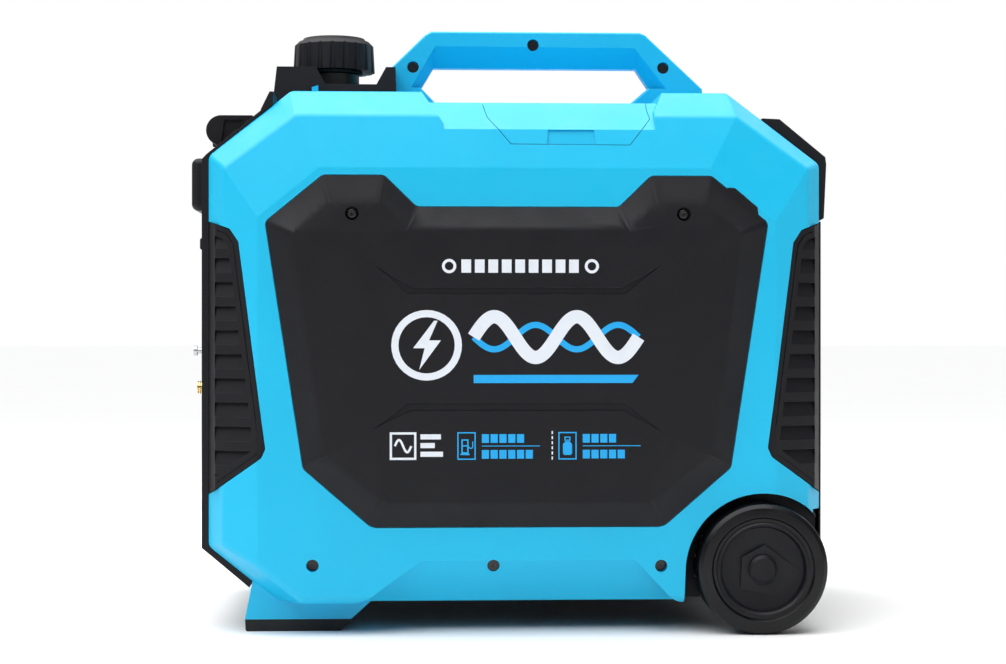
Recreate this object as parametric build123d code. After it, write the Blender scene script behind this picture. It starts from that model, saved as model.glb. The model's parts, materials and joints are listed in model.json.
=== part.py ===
from build123d import *
import os

# Portable inverter generator, millimetres. +X is the wheel and exhaust end, -X the control end,
# -Y the left side of the machine, +Z up, and the ground is z = 0.
# Everything is drawn with x = 0 at the middle of the body and moved by FRAME_X when it is written,
# so that the origin is the bottom centre of the whole machine.

CONTROL_REACH = 330.0  # how far the display hood stands out at the control end
EXHAUST_REACH = 318.0  # how far the shoulder cap stands out at the exhaust end
FRAME_X = (CONTROL_REACH - EXHAUST_REACH) / 2

# Body shell
SIDE_Y = 205.0
END_X = 307.5
EDGE_Y = 165.0  # where the corner bands end on the end faces
TOP_Z = 541.0
SADDLE_Z = 530.0
SADDLE_FORE = (-95.0, -73.0)  # X of the step at the control end, at the top and at its foot
SADDLE_AFT = (137.0, 148.0)
SADDLE_FOOT = (505.0, 519.0)  # height of the foot of each step
BELLY_Z = 31.0
WALL = 3.0
CREASE_R = 9.0
FLOOR_Z = 38.0  # top of the base tray's pan
STRIP_X = 256.0  # the flat side ends here and the tilted strips begin
CORNER = (-291.0, -190.4, 461.0)  # upper corner where strip, band and shoulder facets meet
SHOULDER_END = (-END_X, -EDGE_Y, 475.0)
SHOULDER_TOP = (-243.0, 527.0)
EXHAUST_SHOULDER_END = (-END_X, -EDGE_Y, 468.6)  # the exhaust end's shoulder, as if at the control end
EXHAUST_SHOULDER_TOP = (-231.75, 527.0)
EXHAUST_FACET_INNER = (-258.0, 411.0)
FACET_INNER = ((-258.0, 414.0), (-197.0, 464.0))
FACET_OUTER = (-219.0, 514.0)
UPPER_CREASE_Z = 460.6
CHAMFER_END_Z = 85.0
CHAMFER_FOOT = (-264.0, 50.0)
BELLY_CREASE = (-248.5, 62.5)

# Side service panel, half of its outline from the top middle to the bottom middle
PANEL_HALF = ((100, 422), (132, 453), (192, 453), (248, 407), (211, 165), (144, 107))
FIELD_HALF = ((110, 397), (138.9, 415.2), (182.3, 415.2), (220, 396), (187, 178), (131, 133))
PRY_TAB = ((203, 440), (209.2, 441.5), (215.4, 441.1), (237.7, 422.2), (238.5, 412.5), (222, 416))
PANEL_FACE_Y = 218.0
PANEL_GAP = 0.8
PANEL_SCREW = (163.0, 415.0)
EAR_Z = 397.0

# Corner vent insert at the control end, left side
VENT_OUTLINE = ((-322, 414.7), (-284, 401), (-275, 388), (-248, 184), (-252, 175), (-299, 142), (-322, 128.2))
VENT_CORNER_R = 5.0
VENT_SECTION = ((-240, -201), (-258, -201.5), (-299, -184), (-306.8, -167), (-306.8, -158), (-240, -158))
LOUVRE_COUNT = 10
LOUVRE_TOP = 396.0
LOUVRE_PITCH = 23.8
LOUVRE_HEIGHT = 14.5
LOUVRE_DEPTH = 4.0

# Wheels and axle
WHEEL_R = 65.0
WHEEL_X = 242.0
WHEEL_FACE_Y = 218.0
WHEEL_WIDTH = 47.0
AXLE_R = 6.0
TREAD_CUTS = 20
RUNNING = 0.05  # radial running clearance
ARCH_R = 78.0
ARCH_X = 244.0
ARCH_Z = 61.0
REAR_CORNER_Z = 121.0  # the body's rear corner ends here, above the wheel
WELL_Y = 160.0

# Carry handle, seen from the side
HANDLE_HALF_WIDTH = 22.0
HANDLE_SCREWS = ((-103.6, 584.0), (25.6, 608.4), (166.4, 584.4))

# Fuel filler
FILLER_X = -189.0
CAP_R = 44.0
CAP_BOTTOM = 580.0
CAP_TOP = 616.0
NECK_R = 27.0

# Tow handle
TOW_Z = 505.0
TOW_Y = 96.0
TOW_TUBE_R = 8.0
TOW_NOSE_X = -300.0
TOW_NOSE_R = 15.5

# Engine
CRANK_X = 60.0
CRANK_Z = 185.0
SHAFT_R = 12.0
CYLINDER_TILT = 150.0  # degrees from +X
ROPE_R = 2.0
PULLEY_R = 45.0
ROPE_X = CRANK_X + PULLEY_R
ROPE_Y = 166.0
GRIP_Z = 300.0

# Service lid hinge
LID_HINGE_Y = -108.0
LID_HINGE_Z = 526.0
LID_BARREL_R = 4.0
LID_PIN_R = 1.5

# Lower shell screws
SHELL_SCREWS = ((-202.0, 69.4), (-24.0, 68.4), (142.0, 67.6))
SHELL_SCREW_HEAD_R = 5.8

# Recoil grip in the right panel
GRIP_LENGTH = 108.0
POCKET_FLOOR_Y = 200.0

# Control end: middle of each control as (y, z), with the operator facing +X
START_AT = (104.0, 389.0)
START_R = 11.5
SELECTOR_AT = (-104.0, 389.0)
ROCKER_AT = (-104.0, 340.0)
ROCKER_PIN_R = 1.2
BREAKERS_AT = ((64.0, 327.5), (104.0, 327.5))
USB_AT = (0.0, 389.0)
DISPLAY_Y = (-64.0, 64.0)
HOOD_HALF_WIDTH = 118.0
GROUND_AT = (-128.0, 280.0)
GAS_AT = (-120.0, 242.5)
DUPLEX_AT = ((-78.0, 165.0), (-42.0, 165.0), (42.0, 165.0), (78.0, 165.0))
DUPLEX_COVERS_AT = ((-60.0, 165.0), (60.0, 165.0))
LOCKING_AT = (40.0, 250.0)
ROCKER_SWING = 7.0

# Exhaust end
GRILLE_PAIRS = 12
GRILLE_PITCH = 19.9
GRILLE_GAP = 6.3
EXHAUST_AT = (62.0, 342.0)

# Control end cover
COWL_HALF_WIDTH = 163.0
PLATE_X = -311.0


def polygon_y(points, y0, y1, radius=0):
    """Solid from an outline in X and Z, between two Y values."""
    line = FilletPolyline(*points, radius=radius, close=True) if radius else Polyline(*points, close=True)
    plane = Plane((0, y0, 0), x_dir=(1, 0, 0), z_dir=(0, -1, 0))
    return extrude(plane * make_face(line), amount=y0 - y1)


def polygon_x(points, x0, x1, radius=0):
    """Solid from an outline in Y and Z, between two X values."""
    line = FilletPolyline(*points, radius=radius, close=True) if radius else Polyline(*points, close=True)
    plane = Plane((x0, 0, 0), x_dir=(0, 1, 0), z_dir=(1, 0, 0))
    return extrude(plane * make_face(line), amount=x1 - x0)


def polygon_z(points, z0, z1, radius=0):
    """Solid from an outline in X and Y, between two Z values."""
    line = FilletPolyline(*points, radius=radius, close=True) if radius else Polyline(*points, close=True)
    return extrude(Plane.XY.offset(z0) * make_face(line), amount=z1 - z0)


def block(x0, x1, y0, y1, z0, z1, radius=0):
    """Box between corner coordinates, with its edges rounded where a radius is given."""
    solid = Pos((x0 + x1) / 2, (y0 + y1) / 2, (z0 + z1) / 2) * Box(x1 - x0, y1 - y0, z1 - z0)
    return fillet(solid.edges(), radius) if radius else solid


def rod_x(y, z, radius, x0, x1):
    """Cylinder along X."""
    return Pos((x0 + x1) / 2, y, z) * Rot(0, 90, 0) * Cylinder(radius, abs(x1 - x0))


def rod_y(x, z, radius, y0, y1):
    """Cylinder along Y."""
    return Pos(x, (y0 + y1) / 2, z) * Rot(90, 0, 0) * Cylinder(radius, abs(y1 - y0))


def rod_z(x, y, radius, z0, z1):
    """Cylinder along Z."""
    return Pos(x, y, (z0 + z1) / 2) * Cylinder(radius, abs(z1 - z0))


def right_of(solid):
    """The same piece on the other side of the machine."""
    return mirror(solid, about=Plane.XZ)


def exhaust_end_of(solid):
    """The same piece at the other end of the machine."""
    return mirror(solid, about=Plane.YZ)


def joined(pieces):
    """One shape from a list of solids."""
    total = pieces[0]
    for piece in pieces[1:]:
        total = total + piece
    return total


# ---------------------------------------------------------------- body shell


def facet(a, b, c):
    """A plane through three points, as a point and its outward normal."""
    a, b, c = Vector(*a), Vector(*b), Vector(*c)
    normal = (b - a).cross(c - a).normalized()
    outward = normal.dot(a - Vector(0, 0, TOP_Z / 2))
    return (a, normal) if outward > 0 else (a, normal * -1)


def height_of(plane, x, z):
    """The Y at which a plane passes over (x, z)."""
    point, normal = plane
    return point.Y - (normal.X * (x - point.X) + normal.Z * (z - point.Z)) / normal.Y


def crest_x(top, end):
    """X at which a shoulder slope reaches the height of the top."""
    return top[0] + (TOP_Z - top[1]) * (top[0] + END_X) / (top[1] - end[2])


def body_facets():
    """The planes of the left half at the control end. Every corner where four meet is shared exactly."""
    strip = facet((-STRIP_X, -SIDE_Y, 0), (-STRIP_X, -SIDE_Y, 1), CORNER)
    inner_y = height_of(strip, *FACET_INNER[0])
    (x1, z1), (x2, z2) = FACET_INNER
    shoulder_facet = facet((x1, inner_y, z1), (x2, inner_y, z2), CORNER)
    outer_y = height_of(shoulder_facet, *FACET_OUTER)
    ridge = (FACET_OUTER[0], outer_y, FACET_OUTER[1])
    shoulder_band = facet(CORNER, ridge, SHOULDER_END)
    shoulder = facet(SHOULDER_END, (SHOULDER_END[0], 0, SHOULDER_END[2]), (SHOULDER_TOP[0], 0, SHOULDER_TOP[1]))
    edge_x = crest_x(SHOULDER_TOP, SHOULDER_END)
    top_corner = (edge_x, height_of(shoulder_band, edge_x, TOP_Z), TOP_Z)
    heel = (-END_X, -EDGE_Y, CHAMFER_END_Z)
    foot_x, foot_z = CHAMFER_FOOT
    return {
        "side": facet((0, -SIDE_Y, 0), (1, -SIDE_Y, 0), (0, -SIDE_Y, 1)),
        "strip": strip,
        "band": facet(CORNER, (CORNER[0], CORNER[1], 0), SHOULDER_END),
        "end": facet((-END_X, 0, 0), (-END_X, 1, 0), (-END_X, 0, 1)),
        "shoulder_facet": shoulder_facet,
        "shoulder_band": shoulder_band,
        "shoulder": shoulder,
        "upper": facet(ridge, (0, outer_y, FACET_OUTER[1]), (0, -SIDE_Y, UPPER_CREASE_Z)),
        "roll": facet(ridge, top_corner, (0, outer_y, FACET_OUTER[1])),
        "top": facet((0, 0, TOP_Z), (1, 0, TOP_Z), (0, 1, TOP_Z)),
        "chamfer": facet(heel, (-END_X, 0, CHAMFER_END_Z), (foot_x, 0, foot_z)),
        "under_band": facet(heel, (foot_x, -EDGE_Y, foot_z), (BELLY_CREASE[0], -SIDE_Y, BELLY_CREASE[1])),
        "belly": facet((0, 0, BELLY_Z), (1, 0, BELLY_Z), (0, 1, BELLY_Z)),
    }


def exhaust_facets():
    """The same planes for the exhaust end, whose shoulder is lower, still written as at the control end."""
    planes = body_facets()
    outer_y = height_of(planes["shoulder_facet"], *FACET_OUTER)
    ridge = (FACET_OUTER[0], outer_y, FACET_OUTER[1])
    top_y = height_of(planes["shoulder_band"], crest_x(SHOULDER_TOP, SHOULDER_END), TOP_Z)
    end, top = EXHAUST_SHOULDER_END, EXHAUST_SHOULDER_TOP
    band = facet(end, ridge, (crest_x(top, end), top_y, TOP_Z))
    (x, y, z), (point, normal) = CORNER, band
    corner_z = point.Z - (normal.X * (x - point.X) + normal.Y * (y - point.Y)) / normal.Z
    strip_y = height_of(planes["strip"], *EXHAUST_FACET_INNER)
    inner = (EXHAUST_FACET_INNER[0], strip_y, EXHAUST_FACET_INNER[1])
    planes["shoulder_band"] = band
    planes["shoulder_facet"] = facet((x, y, corner_z), ridge, inner)
    planes["shoulder"] = facet(end, (end[0], 0, end[2]), (top[0], 0, top[1]))
    return planes


def behind(solid, point, normal):
    """The part of a solid that lies behind a plane."""
    return split(solid, bisect_by=Plane(point, z_dir=normal), keep=Keep.BOTTOM)


def faceted_body(inset, names, drop=0.0):
    """Convex body bounded by the named facets at all four corners, moved in by inset and down by drop."""
    body = Pos(0, 0, TOP_Z / 2) * Box(2.4 * END_X, 2.4 * SIDE_Y, 1.4 * TOP_Z)
    for mirror_x, planes in ((1, body_facets()), (-1, exhaust_facets())):
        for name in names:
            point, normal = planes[name]
            point = point - normal * inset
            if name in ("top", "roll"):
                point = point - Vector(0, 0, drop)
            for mirror_y in (1, -1):
                if (mirror_x < 0 and abs(normal.X) < 1e-9) or (mirror_y < 0 and abs(normal.Y) < 1e-9):
                    continue
                corner = Vector(point.X * mirror_x, point.Y * mirror_y, point.Z)
                body = behind(body, corner, Vector(normal.X * mirror_x, normal.Y * mirror_y, normal.Z))
    return body


def saddle_cut(inset):
    """What comes off the top between the two raised ends."""
    (x0, x1), (x2, x3) = SADDLE_FORE, SADDLE_AFT
    x0, x1, x2, x3 = x0 - inset, x1 - inset, x2 + inset, x3 + inset
    z1, z2 = SADDLE_FOOT
    span = polygon_y(((x0, 560), (x0, TOP_Z), (x1, z1), (x1, 480), (x2, 480), (x2, z2), (x3, TOP_Z),
                      (x3, 560)), -260, 260)
    low = faceted_body(inset, ("side", "upper", "roll", "top"), TOP_Z - SADDLE_Z)
    return span - low


def belly_cut():
    """The sloping cut along the lower edge of the left side, between the two corner bellies."""
    slope = facet((0, -SIDE_Y, 74), (1, -SIDE_Y, 74), (0, -178, BELLY_Z + 2))
    fore = facet((-160, -SIDE_Y, 27), (-95, -SIDE_Y, 74), (-132, -178, 27))
    aft = facet((160, -SIDE_Y, 27), (116, -SIDE_Y, 74), (140, -178, 27))
    tool = block(-200, 200, -230, -150, 10, 110)
    tool = split(tool, bisect_by=Plane(slope[0], z_dir=slope[1]), keep=Keep.TOP)
    tool = behind(tool, fore[0], Vector(-abs(fore[1].X), fore[1].Y, abs(fore[1].Z)))
    return behind(tool, aft[0], Vector(abs(aft[1].X), aft[1].Y, abs(aft[1].Z)))


def body_outside():
    """The full outer form of the body, both sides, with soft creases."""
    body = faceted_body(0, body_facets()).solids()[0]
    body = body.fillet(CREASE_R, body.edges())
    return body - saddle_cut(0)


def body_inside():
    """The space inside the walls."""
    return faceted_body(WALL, body_facets()) - saddle_cut(WALL)


def whole_outline(half):
    """A closed outline from its half on the +X side."""
    return list(half) + [(-x, z) for x, z in reversed(half)]


def outline_face(points, y, grow=0.0, radius=0.0):
    """Flat face from an outline in X and Z, grown or shrunk, with rounded corners."""
    sketch = make_face(Polyline(*points, close=True))
    if grow:
        sketch = offset(sketch, grow, kind=Kind.INTERSECTION)
    if radius:
        heel = [corner for corner in sketch.vertices() if corner.Y < 140 and abs(corner.X) < 150]
        others = [corner for corner in sketch.vertices() if corner.Y >= 140 or abs(corner.X) >= 150]
        sketch = fillet(others, radius)
        if heel:
            heel = [corner for corner in sketch.vertices() if corner.Y < 140 and abs(corner.X) < 150]
            sketch = fillet(heel, 2 * radius)
    return Plane((0, y, 0), x_dir=(1, 0, 0), z_dir=(0, -1, 0)) * sketch


def outline_block(points, y0, y1, grow=0.0, radius=0.0):
    """Solid from an outline in X and Z that is first grown or shrunk."""
    return extrude(outline_face(points, y0, grow, radius), amount=y0 - y1)


PANEL_OUTLINE = whole_outline(PANEL_HALF)
FIELD_OUTLINE = whole_outline(FIELD_HALF)


def panel_ledge():
    """Rim inside the left wall that the service panel sits on, with a tab behind each screw."""
    back = -SIDE_Y + WALL
    ledge = outline_block(PANEL_OUTLINE, back, back + WALL, 5)
    window = outline_block(PANEL_OUTLINE, back - 1, back + WALL + 1, -9)
    ledge = ledge - (window - block(-300, 300, -220, -180, EAR_Z, 500))
    for side in (-1, 1):
        ledge = ledge - rod_y(side * PANEL_SCREW[0], PANEL_SCREW[1], 2.5, -210, -190)
    return ledge


def foot_block():
    """Outer form of the left front foot."""
    return polygon_y([(-263.5, 50.5), (-271, 12), (-165, 12), (-144, 31), (-144, 50.5)], -168, -118)


def left_foot():
    """Foot under the control end of the left side, hollow from above."""
    return foot_block() - block(-255, -172, -163, -123, 18, 60) - faceted_body(WALL - 0.5, body_facets())


def vent_windows():
    """What the two corner vent inserts take out of the left wall."""
    window = outline_block(VENT_OUTLINE, -230, -158, 0, VENT_CORNER_R)
    return window + exhaust_end_of(window)


def wheel_arch(radius, y0, y1):
    """Arch over a wheel: round above the hub and straight down below it."""
    round_part = rod_y(ARCH_X, ARCH_Z, radius, y0, y1)
    edge = ARCH_X - radius
    return round_part + polygon_y([(edge, ARCH_Z), (edge - 1.5, 20), (ARCH_X, 20), (ARCH_X, ARCH_Z)], y0, y1)


def rear_corner():
    """Lower part of the exhaust end that the side shells leave to the grille and the tray."""
    under = block(165, 320, -WELL_Y - 1, WELL_Y + 1, 20, REAR_CORNER_Z)
    return block(298, 320, -230, 230, 20, REAR_CORNER_Z) + under


def pry_tab(y0, y1, grow=0.0):
    """Finger tab at the upper rear edge of a service panel."""
    return outline_block(PRY_TAB, y0, y1, grow)


def top_lugs():
    """Small upright lug beside the filler tray, one on each side."""
    lug = polygon_y([(-209.5, TOP_Z - 2), (-209.5, 556), (-203, 558), (-203, TOP_Z - 2)], -69, -64)
    return lug + right_of(lug)


def lid_outline(y0, y1, grow=0.0):
    points = [(-33, 560), (-33, 527), (-29, 513), (-6.5, 485.3), (111.5, 484.6), (133, 512), (131, 522), (131, 560)]
    return outline_block(points, y0, y1, grow)


def end_windows():
    """Openings in the two end walls, the shoulders, the bottom and the top."""
    front = block(-320, -296, -140, 140, 112, 452)
    rear = block(296, 320, -140, 140, 132, 400)
    bottom = block(-262, 303, -151, 151, 20, 34)
    filler = rod_z(FILLER_X, 0, NECK_R + 3, 500, 560)
    tubes = joined([rod_x(y, TOW_Z, TOW_TUBE_R + 3, -320, -220) for y in (-TOW_Y, TOW_Y)])
    fingers = block(-330, -258, -73.5, 73.5, 482, 560)
    return front + rear + bottom + filler + tubes + fingers


def counterbores():
    """Blind seats for the three lower shell screws of the left side."""
    return joined([rod_y(x, z, SHELL_SCREW_HEAD_R + 0.4, -230, -SIDE_Y + 14) for x, z in SHELL_SCREWS])


def screw_bosses():
    """Posts inside the left wall that the lower shell screws go into."""
    posts = [rod_y(x, z, 11, -SIDE_Y + 1, -150) for x, z in SHELL_SCREWS]
    holes = [rod_y(x, z, 3, -SIDE_Y, -149) for x, z in SHELL_SCREWS]
    return joined(posts) - joined(holes)


def half_shell():
    """Left half of the body before the openings that only one side has."""
    outside = body_outside() - belly_cut()
    inside = body_inside() - Pos(0, WALL, 2) * belly_cut()
    left = block(-400, 400, -300, 0, 0, 600)
    shell = (outside - inside) & left
    shell = shell + (panel_ledge() & inside) + (screw_bosses() & inside)
    shell = shell - outline_block(PANEL_OUTLINE, -230, -SIDE_Y + WALL, PANEL_GAP, 8)
    shell = shell - pry_tab(-230, -SIDE_Y + WALL, 0.4)
    shell = shell - vent_windows() - end_windows() - wheel_arch(ARCH_R, -260, -WELL_Y) - counterbores()
    holes = [rod_y(x, z, 3, -SIDE_Y, -149) for x, z in SHELL_SCREWS]
    return shell - joined(holes) - rear_corner() + left_foot() + (top_lugs() & left)


def side_shell_left():
    """Left body half, with the service hatch cut through its top edge."""
    hatch = lid_outline(-240, LID_HINGE_Y, 0.6)
    trench = rod_x(LID_HINGE_Y, LID_HINGE_Z, LID_BARREL_R + 0.6, -41.6, 139.6)
    return half_shell() - hatch - trench


def side_shell_right():
    """Right body half."""
    return right_of(half_shell())


def service_lid():
    """Hatch cover over the spark plug, with a finger recess and a hinge barrel along its inner edge."""
    skin = body_outside() - body_inside()
    cover = skin & lid_outline(-240, LID_HINGE_Y)
    recess = polygon_y([(28, 476), (30.5, 499.5), (76, 499.5), (79.5, 476)], -240, -150)
    floor = faceted_body(2.0, ("side", "upper", "roll", "top"), TOP_Z - SADDLE_Z)
    cover = cover - (recess - floor)
    barrel = rod_x(LID_HINGE_Y, LID_HINGE_Z, LID_BARREL_R, -32, 130)
    return cover + barrel - rod_x(LID_HINGE_Y, LID_HINGE_Z, LID_PIN_R + RUNNING, -40, 140)


def service_lid_pin():
    """Hinge pin, carried by the two eyes that close the ends of the barrel."""
    return rod_x(LID_HINGE_Y, LID_HINGE_Z, LID_PIN_R, -41, 139)


def lid_hinge_eyes():
    """Two brackets under the top wall that hold the hinge pin."""
    eyes = []
    for x0, x1 in ((-41, -35), (133, 139)):
        eye = rod_x(LID_HINGE_Y, LID_HINGE_Z, LID_BARREL_R, x0, x1)
        arm = block(x0, x1, LID_HINGE_Y - 4, LID_HINGE_Y + 4, LID_HINGE_Z - 14, LID_HINGE_Z)
        foot = block(x0 - 6, x1 + 6, LID_HINGE_Y + 4, LID_HINGE_Y + 16, LID_HINGE_Z - 4, SADDLE_Z - WALL)
        eyes.append(eye + arm + foot)
    return joined(eyes) - rod_x(LID_HINGE_Y, LID_HINGE_Z, LID_PIN_R, -50, 150)


# ---------------------------------------------------------------- side panels and vents


def tapered_plate(y0, y1, grow):
    """The panel's raised form, lofted from its seam to its field."""
    seam = outline_face(PANEL_OUTLINE, y0, grow, 8)
    field = outline_face(FIELD_OUTLINE, y1, grow, 3)
    return loft([seam, field], ruled=True)


def ear_plane(inset):
    """The field leans back above this level, where the two ears carry the screws."""
    point, normal = facet((0, -PANEL_FACE_Y, EAR_Z), (1, -PANEL_FACE_Y, EAR_Z), (0, 3.6 - PANEL_FACE_Y, 425.5))
    return point - normal * inset, normal


def chevrons():
    """Two shallow creased grooves across the field, wide in the middle and fading out at the ends."""
    upper = [(-142, 365), (-108, 336), (105, 336), (141, 365), (102, 342.5), (-104, 342.5)]
    lower = [(-142, 204), (-108, 230), (104, 230), (140, 202), (102, 221.5), (-106, 221.5)]
    cuts = [polygon_y(points, -PANEL_FACE_Y - 1, -PANEL_FACE_Y + 1.8) for points in (upper, lower)]
    return cuts[0] + cuts[1]


def service_panel():
    """Left service cover: a raised plate with wide bevels, two ears and a screw in each ear."""
    seam_y = -SIDE_Y + WALL
    rim = outline_block(PANEL_OUTLINE, seam_y, -SIDE_Y, 0, 8) + pry_tab(seam_y, -SIDE_Y - 0.8)
    outer = rim + tapered_plate(-SIDE_Y, -PANEL_FACE_Y, 0)
    inner = tapered_plate(-SIDE_Y, -PANEL_FACE_Y + WALL, -WALL)
    inner = inner + outline_block(PANEL_OUTLINE, seam_y, -SIDE_Y, -WALL, 5)
    panel = behind(outer, *ear_plane(0)) - behind(inner, *ear_plane(WALL))
    panel = panel - chevrons()
    for side in (-1, 1):
        x, z = side * PANEL_SCREW[0], PANEL_SCREW[1]
        boss = rod_y(x, z, 9.5, -PANEL_FACE_Y + 3.5, seam_y) - rod_y(x, z, 2.7, -230, -190)
        panel = panel + boss - rod_y(x, z, 7, -230, -PANEL_FACE_Y + 8)
    return panel


def service_panel_right():
    """Right service cover, with the pocket for the recoil starter grip."""
    x0, x1 = ROPE_X - GRIP_LENGTH / 2 - 9, ROPE_X + GRIP_LENGTH / 2 + 9
    z0, z1 = GRIP_Z - 26, GRIP_Z + 26
    floor_y = POCKET_FLOOR_Y
    cup = block(x0 - 3, x1 + 3, floor_y - 3, PANEL_FACE_Y - 1.5, z0 - 3, z1 + 3)
    pocket = polygon_z([(x0, floor_y), (x1, floor_y), (x1 + 2, 230), (x0 - 2, 230)], z0, z1)
    panel = right_of(service_panel()) + cup
    hole = rod_y(ROPE_X, GRIP_Z, ROPE_R + 2, floor_y - 5, floor_y + 1)
    return panel - pocket - hole


def vent_insert():
    """Black corner insert at the control end, left side, with a stack of sloping louvre pockets."""
    band = polygon_z(VENT_SECTION, 100, 440)
    insert = band & outline_block(VENT_OUTLINE, -230, -150, -0.8, VENT_CORNER_R)
    hollow = Pos(2.5, 4.5, 0) * polygon_z(VENT_SECTION, 90, 450)
    insert = insert - (hollow & outline_block(VENT_OUTLINE, -230, -150, -3.5))
    (x0, y0), (x1, y1) = VENT_SECTION[2], VENT_SECTION[1]
    face = Plane((x0, y0, 0), x_dir=(x1 - x0, y1 - y0, 0), z_dir=(y1 - y0, x0 - x1, 0))
    window = outline_block(VENT_OUTLINE, -230, -150, -11.5) & block(-299.5, -200, -230, -150, 0, 500)
    groove = outline_block(VENT_OUTLINE, -230, -150, -5) - outline_block(VENT_OUTLINE, -230, -150, -6.5)
    insert = insert - (groove & slanted_slab(face, -1.0, 60) & block(-297, -200, -230, -150, 0, 500))
    for i in range(LOUVRE_COUNT + 1):
        high = LOUVRE_TOP - i * LOUVRE_PITCH
        low = high - LOUVRE_HEIGHT
        wedge = Polyline((2, low), (2, high), (-LOUVRE_DEPTH, high), (-0.5, low), close=True)
        side = Plane(face.origin, x_dir=face.z_dir, z_dir=face.z_dir.cross(Vector(0, 0, 1)))
        cut = extrude(side * make_face(wedge), amount=60, both=True)
        insert = insert - (cut & window)
    return insert


def slanted_slab(face, low, high):
    """Thick slab on a vertical slanted face, between two distances from it."""
    slab = Pos(0, 300, (low + high) / 2) * Box(300, 600, high - low)
    return face * slab


# ---------------------------------------------------------------- carry handle


def carry_handle():
    """Left half of the bridge handle: a bevelled bar on two splayed legs, hollow from its inner side."""
    outer = [(-135, TOP_Z), (-135, 575.5), (-91, 618.3), (-84, 622.5), (141, 622.5), (147, 620), (209, 562),
             (211, TOP_Z), (148, TOP_Z), (142.5, SADDLE_Z), (131, SADDLE_Z), (131, 546), (152, 564),
             (138, 584.5), (-82, 584.5), (-95.5, 562), (-80, 546), (-80, SADDLE_Z), (-88, SADDLE_Z), (-95, TOP_Z)]
    left = -HANDLE_HALF_WIDTH
    bar = polygon_y(outer, left, 0)
    rims = [edge for edge in bar.edges() if edge.center().Y < left + 0.1 and edge.center().Z > SADDLE_Z + 18]
    bar = fillet(rims, 2.5)
    front = Pos(0, left - 0.2, 0) * vertical_face([(-79.5, 607), (135.5, 606), (170, 562), (-106, 562)])
    back = Pos(0, left + 16, 0) * vertical_face([(-82, 584), (138, 584), (151, 563), (-94, 563)])
    bore = [rod_y(x, z, 2.6, -40, 10) for x, z in HANDLE_SCREWS]
    seat = [rod_y(x, z, 6.3, -40, left + 9) for x, z in HANDLE_SCREWS]
    core = [(-76, 594), (-78, 616), (140, 616), (142, 604), (136, 594)]
    pocket = polygon_y(core, left + 13.5, 1) - rod_y(*HANDLE_SCREWS[1], 8.5, -40, 10)
    return bar - loft([front, back], ruled=True) - pocket - joined(bore) - joined(seat)


def vertical_face(points):
    """Face in the X-Z plane through the given corners."""
    return make_face(Polyline(*[(x, 0, z) for x, z in points], close=True))


def handle_screws():
    """Pan-head screws that clamp the two handle halves, driven from the left."""
    screws = []
    for x, z in HANDLE_SCREWS:
        head = rod_y(x, z, 5.6, -HANDLE_HALF_WIDTH + 5.5, -HANDLE_HALF_WIDTH + 9)
        shank = rod_y(x, z, 2.6, -HANDLE_HALF_WIDTH + 9, HANDLE_HALF_WIDTH - 9.5)
        slot = rod_y(x, z, 1.7, -HANDLE_HALF_WIDTH + 4, -HANDLE_HALF_WIDTH + 8)
        screws.append(head + shank - slot)
    return joined(screws)


def shell_screws():
    """Lower body screws on both sides, sunk in their counterbores."""
    screws = []
    for x, z in SHELL_SCREWS:
        head = rod_y(x, z, SHELL_SCREW_HEAD_R, -SIDE_Y + 10.5, -SIDE_Y + 14)
        shank = rod_y(x, z, 2.95, -SIDE_Y + 14, -152)
        slot = rod_y(x, z, 2, -SIDE_Y + 9, -SIDE_Y + 12.5)
        screws.append(head + shank - slot)
    left = joined(screws)
    return left + right_of(left)


def service_panel_screws():
    """Captive screws of the two service panels."""
    screws = []
    for side in (-1, 1):
        x, z = side * PANEL_SCREW[0], PANEL_SCREW[1]
        head = rod_y(x, z, 5.6, -PANEL_FACE_Y + 4.5, -PANEL_FACE_Y + 8)
        head = fillet([edge for edge in head.edges() if edge.center().Y < -PANEL_FACE_Y + 4.6], 2.6)
        shank = rod_y(x, z, 2.45, -PANEL_FACE_Y + 8, -196)
        slot = rod_y(x, z, 1.8, -PANEL_FACE_Y + 3, -PANEL_FACE_Y + 6.5)
        screws.append(head + shank - slot)
    left = joined(screws)
    return left + right_of(left)


# ---------------------------------------------------------------- fuel filler and tank


def fuel_tray():
    """Black drip tray around the filler neck, with a notch in its left and right walls."""
    x0, x1, top = -251.0, -121.0, 579.0
    lower = Pos(0, 0, TOP_Z) * make_face(Polyline((x0, -62), (x1, -62), (x1, 62), (x0, 62), close=True))
    upper = Pos(0, 0, top) * make_face(Polyline((x0 + 4, -58), (x1 - 1, -58), (x1 - 1, 58), (x0 + 4, 58),
                                                close=True))
    tray = loft([lower, upper], ruled=True)
    shoulder = (SHOULDER_TOP[0], SHOULDER_TOP[1])
    run = SHOULDER_TOP[0] + END_X
    rise = SHOULDER_TOP[1] - SHOULDER_END[2]
    skirt = polygon_y([(x0, TOP_Z), (x0, shoulder[1] + (x0 - shoulder[0]) * rise / run),
                       (shoulder[0] + (TOP_Z - shoulder[1]) * run / rise, TOP_Z)], -62, 62)
    tray = tray + skirt
    well = block(x0 + 7, x1 - 4, -55, 55, TOP_Z + 4, top + 1)
    notch = polygon_y([(-206, 590), (-206, 579), (-196, 560.5), (-142, 560.5), (-132, 579), (-132, 590)], -70, 70)
    cowl = polygon_y(cowl_profile(), -COWL_HALF_WIDTH, COWL_HALF_WIDTH)
    leg = block(-136, -110, -HANDLE_HALF_WIDTH - 1, HANDLE_HALF_WIDTH + 1, 500, 600)
    return tray - well - notch - cowl - leg - rod_z(FILLER_X, 0, NECK_R + 0.3, 500, 600)


def fuel_neck_parts():
    """Outer and inner surfaces of the filler neck."""
    return rod_z(FILLER_X, 0, NECK_R, 480, 577), rod_z(FILLER_X, 0, NECK_R - 3, 470, 580)


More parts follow.
